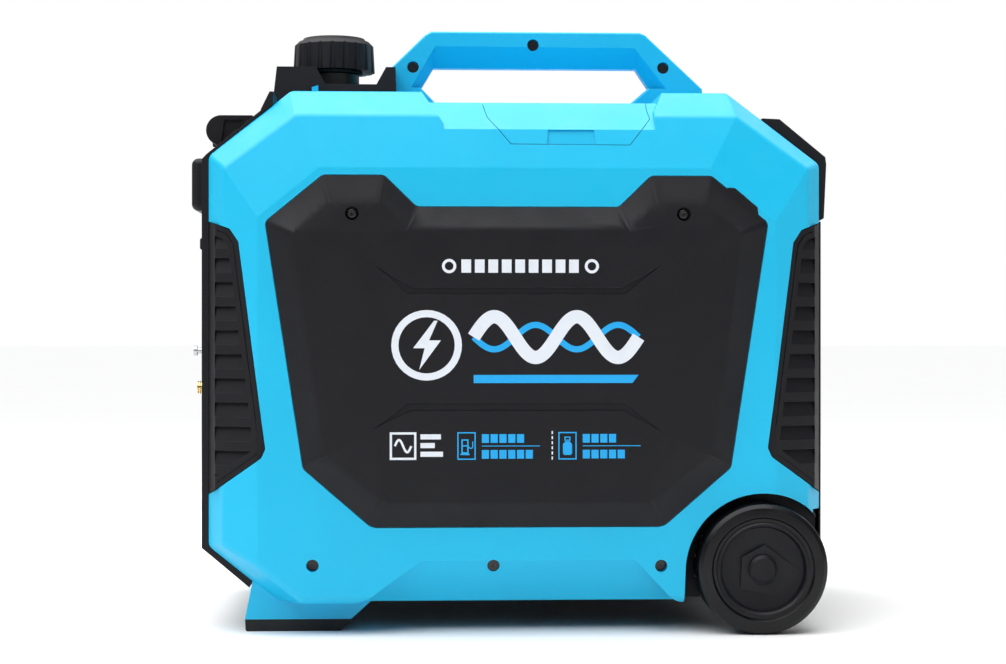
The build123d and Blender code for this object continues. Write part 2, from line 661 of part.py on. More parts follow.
def fuel_tank():
    """Tank under the top of the body, with its filler neck and two mounting ears."""
    tank = block(-236, 96, -150, 150, 368, 486, 14)
    hollow = block(-233, 93, -147, 147, 371, 483, 11)
    outer, inner = fuel_neck_parts()
    return (tank + outer) - hollow - inner


def fuel_cap():
    """Fluted filler cap with a chamfered skirt, a raised top disc and a bayonet plug."""
    profile = [(0, CAP_BOTTOM), (CAP_R, CAP_BOTTOM), (CAP_R - 1.5, CAP_TOP - 8), (CAP_R - 6, CAP_TOP - 3.5),
               (CAP_R - 9, CAP_TOP - 3.5), (CAP_R - 11, CAP_TOP), (0, CAP_TOP)]
    face = Plane.XZ * make_face(Polyline(*profile, close=True))
    cap = revolve(face, Axis.Z)
    flutes = 20
    for i in range(flutes):
        angle = 360 / flutes * i
        deep = Rot(0, 0, angle) * Pos(CAP_R + 1.2, 0, (CAP_BOTTOM + CAP_TOP) / 2 - 3) * Cylinder(3.4, CAP_TOP)
        cap = cap - deep
    under = rod_z(0, 0, NECK_R + 4, CAP_BOTTOM - 10, CAP_BOTTOM + 3)
    plug = rod_z(0, 0, NECK_R - 3.6, CAP_BOTTOM - 24, CAP_BOTTOM + 4)
    plug = plug - rod_z(0, 0, NECK_R - 7, CAP_BOTTOM - 30, CAP_BOTTOM)
    return Pos(FILLER_X, 0, 0) * (cap - under + plug)


def fuel_cap_gasket():
    """Rubber ring inside the cap that seals on the top of the neck."""
    ring = rod_z(FILLER_X, 0, NECK_R + 3.5, 577.4, CAP_BOTTOM + 3)
    return ring - rod_z(FILLER_X, 0, NECK_R - 3.6, 570, 590)


# ---------------------------------------------------------------- tow handle


def tow_grip():
    """Bail across the front shoulder: a round bar between two flat cheeks that hold the tubes."""
    nose_x, nose_r = TOW_NOSE_X, TOW_NOSE_R
    cheek = [(nose_x, TOW_Z + nose_r + 1), (-268, TOW_Z + nose_r + 1), (-302, 493.5), (nose_x - 8, TOW_Z - 12)]
    pieces = []
    for y0, y1 in ((-112, -80), (80, 112)):
        plate = polygon_y(cheek, y0, y1) + rod_y(nose_x, TOW_Z + 1, nose_r, y0, y1)
        pieces.append(plate)
    bar = rod_y(nose_x, TOW_Z + 1, nose_r - 2, -80, 80)
    grip = joined(pieces) + bar
    for y0, y1 in ((-113, -109), (109, 113)):
        scoop = [(nose_x + 3, TOW_Z + 12), (-276, TOW_Z + 12), (-298, 494), (nose_x, 494)]
        grip = grip - polygon_y(scoop, y0, y1)
    for y in (-TOW_Y, TOW_Y):
        grip = grip - rod_x(y, TOW_Z, TOW_TUBE_R, nose_x + 4, -200)
    return grip - rod_x(0, TOW_Z + 1, 7.0 + RUNNING, -330, nose_x + 2)


def tow_tubes():
    """Two steel tubes fixed in the grip that slide in the guide sleeves."""
    tubes = []
    for y in (-TOW_Y, TOW_Y):
        tube = rod_x(y, TOW_Z, TOW_TUBE_R, TOW_NOSE_X + 4, 60)
        tubes.append(tube - rod_x(y, TOW_Z, TOW_TUBE_R - 1.5, TOW_NOSE_X, 70))
    return joined(tubes)


def tow_release_button():
    """Push button on the nose of the grip that frees the tubes."""
    return rod_x(0, TOW_Z + 1, 7.0, TOW_NOSE_X - TOW_NOSE_R - 4, TOW_NOSE_X - 3)


def tow_sleeves():
    """Guide sleeves for the tubes, hung from the shoulder and from a cross plate at their inner ends."""
    sleeves = []
    for y in (-TOW_Y, TOW_Y):
        sleeve = rod_x(y, TOW_Z, TOW_TUBE_R + 2.5, -258, -100) - rod_x(y, TOW_Z, TOW_TUBE_R + RUNNING, -300, 0)
        sleeves.append(sleeve)
    for x in (-256, -110):
        plate = block(x, x + 4, -TOW_Y, TOW_Y, TOW_Z - 9, TOW_Z + 5)
        for y in (-TOW_Y, TOW_Y):
            plate = plate - rod_x(y, TOW_Z, TOW_TUBE_R + RUNNING, -300, 0)
        sleeves.append(plate - rod_z(FILLER_X, 0, NECK_R + 5, 400, 600))
    return joined(sleeves)


# ---------------------------------------------------------------- control end


def cowl_profile():
    """Outline of the plate that wraps the control end: lower chamfer, end face and shoulder."""
    return [(-314.5, 83), (-314.5, 472), (-309.6, 477.2), (-246, 528.9), (-243.6, 526.6), (-307.5, 475),
            (-307.5, 85), (-264.3, 50.2), (-267, 43)]


def front_cowl():
    """Black surround of the control end, with a window for the control plate and a pocket behind the grip."""
    cowl = polygon_y(cowl_profile(), -COWL_HALF_WIDTH, COWL_HALF_WIDTH)
    cowl = cowl - block(-330, -300, -150, 150, 100, 462)
    cowl = cowl - block(-330, -262, -70, 70, 486, 560) - block(-330, PLATE_X, -HOOD_HALF_WIDTH - 0.5, HOOD_HALF_WIDTH + 0.5, 422, 477.5)
    for y in (-TOW_Y, TOW_Y):
        cowl = cowl - rod_x(y, TOW_Z, TOW_TUBE_R + 3, -330, -220)
    lip = polygon_y([(-256, 521.5), (-247, 540), (-243, 540), (-243.6, 527)], -COWL_HALF_WIDTH, -110)
    lip = lip - faceted_body(0, ("shoulder",))
    return cowl + lip + right_of(lip) - foot_block() - right_of(foot_block())


def finger_pocket():
    """Cup behind the tow bar, so that a hand can close around it."""
    outline = [(-262, 487), (-262, 514), (-275, 503.5), (-293, 489)]
    cup = block(-294, -258, -73.5, 73.5, 482, 516) & faceted_body(0, ("shoulder", "end"))
    hollow = block(-330, -262, -70, 70, 486, 560)
    return cup - hollow


def control_plate():
    """Plate that carries the controls, with a hole for each of them."""
    plate = block(PLATE_X, -307.5, -149.5, 149.5, 100.5, 461.5)
    holes = [
        rod_x(*START_AT, START_R + 0.4, -330, -300),
        rod_x(*SELECTOR_AT, 8, -330, -300),
        rod_x(*GAS_AT, 8.5, -330, -300),
        rod_x(*GROUND_AT, 3, -330, -300),
        block(-330, -300, ROCKER_AT[0] - 10.5, ROCKER_AT[0] + 10.5, ROCKER_AT[1] - 7, ROCKER_AT[1] + 7),
        block(-330, -300, DISPLAY_Y[0] + 6, DISPLAY_Y[1] - 6, 429, 461),
        block(-330, -300, USB_AT[0] - 19, USB_AT[0] + 19, USB_AT[1] - 10, USB_AT[1] + 10),
    ]
    for y, z in BREAKERS_AT:
        holes.append(rod_x(y, z, 6.4, -330, -300))
    for y, z in DUPLEX_AT:
        holes.append(rod_x(y, z, 17.5, -330, -300))
    holes.append(rod_x(*LOCKING_AT, 23.5, -330, -300))
    return plate - joined(holes)


def display_hood():
    """Rounded hood around the display."""
    hood = block(-330, PLATE_X, -HOOD_HALF_WIDTH, HOOD_HALF_WIDTH, 423, 477)
    edges = [edge for edge in hood.edges() if edge.center().X < -312]
    hood = fillet(edges, 7)
    slope = [(-331, 433), (-331, 467), (-318, 461), (-318, 430)]
    window = polygon_y(slope, DISPLAY_Y[0] + 9, DISPLAY_Y[1] - 9)
    well = block(-319, -300, DISPLAY_Y[0] + 12, DISPLAY_Y[1] - 12, 432, 459)
    return hood - window - well


def display_panel():
    """Display module behind the hood."""
    return block(-321, -309, DISPLAY_Y[0] + 13, DISPLAY_Y[1] - 13, 433, 458)


def start_button():
    return rod_x(*START_AT, START_R, -320.5, -304)


def start_bezel():
    """Ring around the start button."""
    ring = rod_x(*START_AT, START_R + 4, -315, PLATE_X)
    return ring - rod_x(*START_AT, START_R + 0.4, -330, -300)


def fuel_selector_knob():
    """Wing knob of the fuel selector on its spindle."""
    y, z = SELECTOR_AT
    disc = rod_x(y, z, 19, -315, -311.6)
    wing = block(-321, -314, y - 17, y + 17, z - 6, z + 6)
    rims = [edge for edge in wing.edges() if edge.center().X < -320.5]
    return disc + fillet(rims, 2.5) + rod_x(y, z, 6, -315, -290)


def economy_rocker():
    """Rocker switch paddle, resting on its lower side."""
    y, z = ROCKER_AT
    paddle = [(-308, -5.6), (-314.6, -5.6), (-312.8, 0), (-314.6, 5.6), (-308, 5.6)]
    body = polygon_y([(px, z + pz) for px, pz in paddle], y - 9, y + 9)
    body = body + rod_y(-308, z, 2.6, y - 9, y + 9) + rod_y(-308, z, ROCKER_PIN_R, y - 10.1, y + 10.1)
    return Pos(-308, 0, z) * Rot(0, ROCKER_SWING, 0) * Pos(308, 0, -z) * body


def rocker_frame():
    """Snap-in frame around the rocker."""
    y, z = ROCKER_AT
    frame = block(-312.5, PLATE_X, y - 12.5, y + 12.5, z - 9.5, z + 9.5)
    housing = block(PLATE_X, -290, y - 10.4, y + 10.4, z - 6.9, z + 6.9)
    frame = frame + housing
    frame = frame - block(-330, -300, y - 9.4, y + 9.4, z - 6.45, z + 6.45)
    return frame - rod_y(-308, z, ROCKER_PIN_R + RUNNING, y - 10.2, y + 10.2)


def breaker_buttons():
    """Reset buttons of the two circuit breakers, one each."""
    return [rod_x(y, z, 4.4, -317, -302) for y, z in BREAKERS_AT]


def breaker_collars():
    """Threaded collars that hold the breakers in the plate."""
    collars = []
    for y, z in BREAKERS_AT:
        collar = rod_x(y, z, 8.5, -314, PLATE_X) + rod_x(y, z, 6.3, PLATE_X, -298)
        collars.append(collar - rod_x(y, z, 4.45, -330, -298.5))
    return joined(collars)


def duplex_outlets():
    """Four round household sockets, recessed faces with blade slots."""
    sockets = []
    for y, z in DUPLEX_AT:
        face = rod_x(y, z, 17.2, -312.5, -290)
        for dy in (-6.3, 6.3):
            face = face - block(-314, -300, y + dy - 1.1, y + dy + 1.1, z - 1, z + 7)
        sockets.append(face - rod_x(y, z - 8, 2.4, -314, -300))
    return joined(sockets)


def locking_outlet():
    """Round twist-lock socket with four curved slots."""
    y, z = LOCKING_AT
    face = rod_x(y, z, 23.2, -314, -285)
    ring = rod_x(y, z, 14.5, -315, -303) - rod_x(y, z, 12.3, -316, -300)
    for i in range(4):
        bar = Pos(0, y, z) * Rot(45 + 90 * i, 0, 0) * Pos(0, 0, 0) * block(-316, -303, -3, 3, 10, 16)
        face = face - (ring & bar)
    return face


def outlet_covers():
    """Spring-free weather flap over each pair of household sockets, hung from its upper edge."""
    covers = []
    for y, z in DUPLEX_COVERS_AT:
        flap = block(-320.5, -314.2, y - 41, y + 41, z - 22, z + 20)
        rims = [edge for edge in flap.edges() if edge.center().X < -320.4]
        flap = fillet(rims, 3)
        flap = flap - block(-318.5, -310, y - 38.5, y + 38.5, z - 19.5, z + 17)
        for y0, y1 in ((y - 36.7, y - 30.1), (y + 30.1, y + 36.7)):
            flap = flap - rod_y(-315.6, z + 23, 4.1, y0, y1)
        barrel = rod_y(-315.6, z + 23, 2.6, y - 30, y + 30)
        web = block(-318.2, -314.2, y - 30, y + 30, z + 17, z + 23)
        flap = flap + barrel + web - rod_y(-315.6, z + 23, 1.2 + RUNNING, y - 45, y + 45)
        covers.append(flap)
    return covers


def cover_hinges():
    """Pin and two ears above each outlet flap."""
    pieces = []
    for y, z in DUPLEX_COVERS_AT:
        pin = rod_y(-315.6, z + 23, 1.2, y - 36, y + 36)
        pieces.append(pin)
        for y0, y1 in ((y - 36, y - 30.4), (y + 30.4, y + 36)):
            pieces.append(block(-318.2, PLATE_X, y0, y1, z + 20.4, z + 25.6))
    return joined(pieces)


def usb_ports():
    """Socket block for low-voltage leads."""
    y, z = USB_AT
    body = block(-312.5, -292, y - 18.8, y + 18.8, z - 9.8, z + 9.8)
    for dy in (-10, 0, 10):
        body = body - block(-313, -303, y + dy - 3.6, y + dy + 3.6, z - 4, z + 4)
    return body


def gas_inlet():
    """Gas hose connector with its hexagon and union thread."""
    y, z = GAS_AT
    body = rod_x(y, z, 6.5, -323, -280)
    flange = rod_x(y, z, 11, -314, PLATE_X) + rod_x(y, z, 8.3, PLATE_X, -306)
    grooves = [rod_x(y, z, 9, x, x + 1.2) - rod_x(y, z, 5.7, x - 1, x + 2) for x in (-322, -319.9, -317.8)]
    return body + flange - joined(grooves) - rod_x(y, z, 3, -330, -285)


def ground_terminal():
    """Earth stud with its nut and wing head."""
    y, z = GROUND_AT
    stud = rod_x(y, z, 2.8, -324, -296)
    nut = block(-314, PLATE_X, y - 6, y + 6, z - 6, z + 6)
    head = rod_x(y, z, 5, -326, -322.5)
    return stud + nut + head


# ---------------------------------------------------------------- exhaust end


def rear_grille():
    """Black plate over the exhaust end, with louvre ribs in pairs and the exhaust port."""
    plate = polygon_y([(307.5, 85), (307.5, 411), (309.5, 411), (309.5, 83), (266, 48.2), (264.3, 50.2)],
                      -COWL_HALF_WIDTH, COWL_HALF_WIDTH)
    ribs = []
    for i in range(GRILLE_PAIRS):
        low = 131 + i * GRILLE_PITCH
        for z in (low, low + GRILLE_GAP):
            rib = [(309.5, z), (313.4, z + 0.6), (313.4, z + 2.0), (309.5, z + 3.4)]
            ribs.append(polygon_y(rib, -138, 138))
        plate = plate - block(300, 320, -130, 130, low + 11.5, low + 17.5)
    plate = plate + joined(ribs)
    port = rod_x(*EXHAUST_AT, 26, 307.5, 314)
    return plate - rod_x(*EXHAUST_AT, 26, 300, 330) + port - rod_x(*EXHAUST_AT, 20, 300, 330)


def rear_shoulder_cap():
    """Black cap over the shoulder of the exhaust end."""
    outline = [(250, 512.95), (252, 516.8), (270, 516), (317, 477.5), (318, 470), (315.5, 415), (309, 411.3),
               (307.5, 411.3), (307.5, EXHAUST_SHOULDER_END[2])]
    return polygon_y(outline, -150, 150)


# ---------------------------------------------------------------- base, feet and wheels


def base_tray():
    """Floor pan with the axle beam, four engine posts and a lined well for each wheel."""
    pan = block(-261, 302, -150, 150, BELLY_Z, FLOOR_Z)
    beam = block(WHEEL_X - 13, WHEEL_X + 13, -157, 157, BELLY_Z + WALL, 82)
    wells = []
    for y0, y1 in ((-196, -WELL_Y), (WELL_Y, 196)):
        wells.append(wheel_arch(ARCH_R + 3, y0, y1) - wheel_arch(ARCH_R, y0 - 1, y1 + 1))
    for y0, y1 in ((-WELL_Y, -WELL_Y + 3), (WELL_Y - 3, WELL_Y)):
        wells.append(wheel_arch(ARCH_R + 3, y0, y1))
    slope = Pos(0, WALL + 0.4, 2.4) * belly_cut()
    room = faceted_body(WALL + 0.2, body_facets()) - slope - right_of(slope)
    skin = faceted_body(0, body_facets()) - faceted_body(WALL + 0.3, body_facets())
    tail = skin & block(166, 297.5, -WELL_Y + 0.5, WELL_Y - 0.5, 20, REAR_CORNER_Z - 1)
    tray = ((pan + beam + joined(wells)) & room) + tail
    return tray - rod_y(WHEEL_X, WHEEL_R, AXLE_R, -200, 200)


def foot_pads():
    """Rubber soles under the two front feet."""
    outline = [(-271, 12), (-270.5, 1.5), (-269, 0), (-176, 0), (-165, 12)]
    left = polygon_y(outline, -168, -118)
    return left + right_of(left)


def axle():
    """Steel axle fixed in the beam, grooved near each end."""
    rod = rod_y(WHEEL_X, WHEEL_R, AXLE_R, -213, 213)
    for y0, y1 in ((-209.6, -208), (208, 209.6)):
        rod = rod - (rod_y(WHEEL_X, WHEEL_R, 8, y0, y1) - rod_y(WHEEL_X, WHEEL_R, AXLE_R - 1, y0 - 1, y1 + 1))
    return rod


def axle_clips():
    """Retaining clip in each groove of the axle."""
    clips = []
    for y0, y1 in ((-209.6, -208), (208, 209.6)):
        clips.append(rod_y(WHEEL_X, WHEEL_R, 10, y0, y1) - rod_y(WHEEL_X, WHEEL_R, AXLE_R - 1, y0 - 1, y1 + 1))
    return joined(clips)


def turned_ring(profile, side):
    """Ring turned about the axle from an outline of radius and distance from the middle plane."""
    face = Plane.XY * make_face(Polyline(*[(r, y) for r, y in profile], close=True))
    ring = revolve(face, Axis.Y)
    ring = Pos(WHEEL_X, 0, WHEEL_R) * ring
    return ring if side > 0 else right_of(ring)


def wheel_tyre(side):
    """Solid rubber tyre with a flat tread, bevelled shoulders and a stepped side wall."""
    inner, outer = WHEEL_FACE_Y - WHEEL_WIDTH, WHEEL_FACE_Y
    profile = [(46, inner + 4), (49, inner + 1.5), (57, inner), (63, inner + 5), (WHEEL_R, inner + 11),
               (WHEEL_R, outer - 8), (63.8, outer - 4), (60, outer - 1.5), (51.5, outer - 1), (49.5, outer - 3),
               (46, outer - 3)]
    tyre = turned_ring(profile, side)
    cuts = []
    for i in range(TREAD_CUTS):
        cut = Rot(0, 360 / TREAD_CUTS * (i + 0.5), 0) * Pos(0, 0, WHEEL_R) * Box(4.5, 14, 3)
        cuts.append(Pos(WHEEL_X, side * (inner + 20), WHEEL_R) * cut)
    return tyre - joined(cuts)


def wheel_hub(side):
    """Moulded disc wheel with a dished face, a raised wedge boss and a bearing tube."""
    inner, outer = WHEEL_FACE_Y - WHEEL_WIDTH, WHEEL_FACE_Y
    profile = [(AXLE_R + RUNNING, inner - 10), (12, inner - 10), (12, outer - 16), (40, outer - 16),
               (43, inner + 4), (46, inner + 4), (46, outer - 1), (44.5, outer), (42.5, outer - 1.5), (40.5, outer - 8),
               (16.5, outer - 10), (16.5, outer - 8), (AXLE_R + RUNNING, outer - 11)]
    hub = turned_ring(profile, 1)
    wedge = [(-20.7, 11.7), (1.4, 23.5), (38.5, -3.5), (24, -28), (-22, -20)]
    raised = polygon_y([(WHEEL_X + px, WHEEL_R + pz) for px, pz in wedge], outer - 11, outer - 5)
    raised = behind(raised, Vector(WHEEL_X, outer - 7.2, WHEEL_R), Vector(0.02, 1, -0.07).normalized())
    hub = hub + (raised - rod_y(WHEEL_X, WHEEL_R, 14.3, 150, 260))
    hub = hub - rod_y(WHEEL_X, WHEEL_R, 14.3, outer - 11, 260)
    hub = hub - rod_y(WHEEL_X, WHEEL_R, 10.6, outer - 10.5, 260) - rod_y(WHEEL_X, WHEEL_R, AXLE_R + RUNNING, 100, 260)
    return hub if side > 0 else right_of(hub)


def wheel_cap(side):
    """Snap-in cover over the axle end."""
    outer = WHEEL_FACE_Y
    profile = [(0, outer - 3.5), (0, outer - 1.5), (11, outer - 1.5), (14, outer - 4), (14, outer - 11),
               (11.5, outer - 11), (11.5, outer - 3.5)]
    return turned_ring(profile, side)


# ---------------------------------------------------------------- engine and alternator


def engine_mounts():
    """Four rubber blocks between the tray and the engine base."""
    blocks = [rod_z(x, y, 15, FLOOR_Z, 56) for x in (-5, 125) for y in (-62, 42)]
    return joined(blocks)


def engine_block():
    """Crankcase with its foot, the finned cylinder and the flange that carries the fan shroud."""
    foot = block(-25, 145, -84, 62, 56, 68, 4)
    case = block(-18, 138, -80, 56, 66, 262, 12)
    flange = rod_y(CRANK_X, CRANK_Z, 116, 52, 60)
    barrel = Pos(0, 0, 0) * Rot(0, 90, 0) * Cylinder(38, 90)
    fins = joined([Pos(-32 + 11 * i, 0, 0) * Box(3, 104, 104) for i in range(7)])
    cylinder = Pos(112, -12, 0) * (barrel + fins)
    cylinder = Pos(CRANK_X, 0, CRANK_Z) * Rot(0, -CYLINDER_TILT, 0) * cylinder
    body = foot + case + flange + cylinder
    hollow = block(-8, 128, -70, 46, 80, 252, 8)
    body = body - hollow - rod_y(CRANK_X, CRANK_Z, SHAFT_R + RUNNING, -120, 90)
    return body


def cylinder_head():
    """Head and valve cover, seated on the top of the cylinder."""
    head = Pos(171, -12, 0) * Box(28, 108, 108)
    cover = Pos(197.5, -12, 0) * fillet(Box(25, 88, 88).edges(), 6)
    plug = Pos(171, -66, 0) * Rot(90, 0, 0) * Cylinder(8, 4)
    return Pos(CRANK_X, 0, CRANK_Z) * Rot(0, -CYLINDER_TILT, 0) * (head + cover - plug)


def spark_plug():
    """Spark plug with its rubber cap, screwed into the left side of the head."""
    shell = Pos(171, -66, 0) * Rot(90, 0, 0) * Cylinder(8, 4)
    body = Pos(171, -84, 0) * Rot(90, 0, 0) * Cylinder(8, 32)
    lead = Pos(171, -104, 0) * Rot(90, 0, 0) * Cylinder(6, 8)
    return Pos(CRANK_X, 0, CRANK_Z) * Rot(0, -CYLINDER_TILT, 0) * (shell + body + lead)


def crankshaft():
    """Crankshaft with its web, crank pin and tapered end for the rotor."""
    shaft = rod_y(CRANK_X, CRANK_Z, SHAFT_R, -92, 150)
    webs = [rod_y(CRANK_X, CRANK_Z, 30, y0, y1) for y0, y1 in ((-40, -28), (4, 16))]
    return shaft + joined(webs)


def rotor():
    """Alternator rotor: a steel cup with magnets around its inside."""
    cup = rod_y(CRANK_X, CRANK_Z, 88, 66, 122) - rod_y(CRANK_X, CRANK_Z, 80, 60, 116)
    boss = rod_y(CRANK_X, CRANK_Z, 20, 100, 122)
    magnets = []
    for i in range(12):
        magnet = Rot(0, 30 * i, 0) * Pos(0, 92, 77.5) * Box(30, 44, 6)
        magnets.append(Pos(CRANK_X, 0, CRANK_Z) * magnet)
    return cup + boss + joined(magnets) - rod_y(CRANK_X, CRANK_Z, SHAFT_R, 60, 160)


def cooling_fan():
    """Fan disc with curved-out blades and the starter cup that the recoil pawls catch."""
    disc = rod_y(CRANK_X, CRANK_Z, 86, 122, 126)
    blades = []
    for i in range(16):
        blade = Rot(0, 22.5 * i, 0) * Pos(12, 135, 66) * Rot(0, 18, 0) * Box(3, 18, 36)
        blades.append(Pos(CRANK_X, 0, CRANK_Z) * blade)
    cup = rod_y(CRANK_X, CRANK_Z, 36, 126, 146) - rod_y(CRANK_X, CRANK_Z, 32, 130, 160)
    return disc + joined(blades) + cup - rod_y(CRANK_X, CRANK_Z, SHAFT_R, 110, 170)


def stator():
    """Wound stator on a sleeve bolted to the crankcase."""
    sleeve = rod_y(CRANK_X, CRANK_Z, 30, 60, 96)
    core = rod_y(CRANK_X, CRANK_Z, 40, 72, 96)
    teeth = []
    for i in range(18):
        arm = Rot(0, 20 * i, 0) * Pos(0, 84, 52) * Box(7, 22, 32)
        shoe = Rot(0, 20 * i, 0) * Pos(0, 84, 69) * Box(18, 24, 4)
        coil = Rot(0, 20 * i, 0) * Pos(0, 84, 54) * Box(10, 26, 20)
        teeth.append(Pos(CRANK_X, 0, CRANK_Z) * (arm + shoe + coil))
    return sleeve + core + joined(teeth) - rod_y(CRANK_X, CRANK_Z, SHAFT_R + 3, 50, 130)


def fan_shroud():
    """Duct around the rotor and fan, with an inturned front ring."""
    duct = rod_y(CRANK_X, CRANK_Z, 116, 60, 154) - rod_y(CRANK_X, CRANK_Z, 112, 50, 160)
    ring = rod_y(CRANK_X, CRANK_Z, 113, 151, 154) - rod_y(CRANK_X, CRANK_Z, 92, 140, 160)
    return duct + ring


def recoil_housing():
    """Three-armed bracket over the fan that carries the recoil pulley on its hub pin."""
    plate = rod_y(CRANK_X, CRANK_Z, 58, 176, 180)
    arms = []
    for angle in (60, 180, 300):
        arm = Rot(0, angle, 0) * Pos(75, 178, 0) * Box(66, 4, 16)
        post = Rot(0, angle, 0) * Pos(104, 167, 0) * Rot(90, 0, 0) * Cylinder(5, 26)
        arms.append(Pos(CRANK_X, 0, CRANK_Z) * (arm + post))
    pin = rod_y(CRANK_X, CRANK_Z, 8, 158, 176)
    return plate + joined(arms) + pin


def recoil_pulley():
    """Grooved pulley that winds the rope, with two pawls facing the fan cup."""
    rim = rod_y(CRANK_X, CRANK_Z, PULLEY_R - ROPE_R, 161, 171)
    flanges = [rod_y(CRANK_X, CRANK_Z, PULLEY_R + 5, y0, y1) for y0, y1 in ((160, 162.5), (169.5, 172))]
    pawls = [block(CRANK_X + x - 5, CRANK_X + x + 5, 154, 160, CRANK_Z - 3, CRANK_Z + 3) for x in (-24, 24)]
    return rim + joined(flanges) + joined(pawls) - rod_y(CRANK_X, CRANK_Z, 8 + RUNNING, 150, 175)


def starter_rope():
    """The free run of the starter rope, from its tangent on the pulley to the grip."""
    top = GRIP_Z
    path = FilletPolyline((ROPE_X, ROPE_Y, CRANK_Z), (ROPE_X, ROPE_Y, top), (ROPE_X, 203, top), radius=12)
    section = Plane((ROPE_X, ROPE_Y, CRANK_Z), z_dir=(0, 0, 1)) * Circle(ROPE_R)
    return sweep(section, path=path)


def recoil_grip():
    """T-shaped pull grip, seated in its pocket."""
    half = GRIP_LENGTH / 2
    bar = block(ROPE_X - half, ROPE_X + half, 206, 216.5, GRIP_Z - 13, GRIP_Z + 13)
    bar = fillet(bar.edges(), 4)
    boss = rod_y(ROPE_X, GRIP_Z, 9, 203, 208)
    return bar + boss


# ---------------------------------------------------------------- intake, exhaust and electrics


def carburettor():
    """Carburettor body with its float bowl, between the head and the air filter."""
    body = block(-118, -82, -112, -70, 214, 250, 3)
    bowl = rod_z(-100, -91, 15, 198, 216)
    throat = rod_y(-100, 232, 12, -70, -66)
    return body + bowl + throat - rod_y(-100, 232, 9, -130, -60)


def air_filter_box():
    """Air filter case with its clipped cover."""
    case = block(-152, -48, -186, -112, 196, 300, 6)
    hollow = block(-149, -51, -176, -115, 199, 297, 4)
    return case - hollow - rod_y(-100, 232, 9, -120, -100)


def exhaust_pipe():
    """Bent pipe from the head over the crankcase to the muffler."""
    path = FilletPolyline((-30, 66, 290), (-30, 78, 290), (-30, 78, 318), (176, 78, 318), radius=10)
    section = Plane((-30, 66, 290), z_dir=(0, 1, 0)) * Circle(11)
    return sweep(section, path=path)


def muffler():
    """Muffler drum box with its outlet pipe through the rear grille."""
    box = block(176, 284, -110, 104, 200, 372, 14)
    hollow = block(179, 281, -107, 101, 203, 369, 11)
    outlet = rod_x(*EXHAUST_AT, 16, 278, 313)
    inlet = rod_x(78, 318, 11, 160, 190)
    bore = rod_x(*EXHAUST_AT, 13, 270, 320)
    return (box + outlet) - hollow - bore - inlet


def inverter_module():
    """Finned power electronics box behind the control plate."""
    box = block(-262, -190, -128, 128, 70, 212, 3)
    for i in range(15):
        z = 78 + 9 * i
        box = box - block(-196, -180, -122, 122, z, z + 5)
    brackets = [block(-232, -200, y - 8, y + 8, FLOOR_Z, 72) for y in (-100, 100)]
    return box + joined(brackets)


def battery():
    """Starter battery with two posts."""
    case = block(-160, -62, 84, 150, FLOOR_Z, 118, 3)
    posts = [rod_z(x, 117, 5, 117, 126) for x in (-140, -82)]
    return case + joined(posts)


def starter_motor():
    """Electric starter beside the crankcase, its pinion facing the rotor."""
    body = rod_y(-38, 100, 24, -60, 48)
    nose = rod_y(-38, 100, 12, 48, 62)
    bracket = block(-38, -18, -40, 30, 90, 110)
    return body + nose + bracket


# ---------------------------------------------------------------- writing


def write(name, shape):
    """One STEP file for a node, in the machine's frame."""
    solids = [solid.moved(Location((FRAME_X, 0, 0))) for solid in shape.solids()]
    export_step(solids[0] if len(solids) == 1 else Compound(children=solids), f"parts/{name}.step")


def grouped(*shapes):
    """Several separate solids that share one node."""
    return Compound(children=[solid for shape in shapes for solid in shape.solids()])


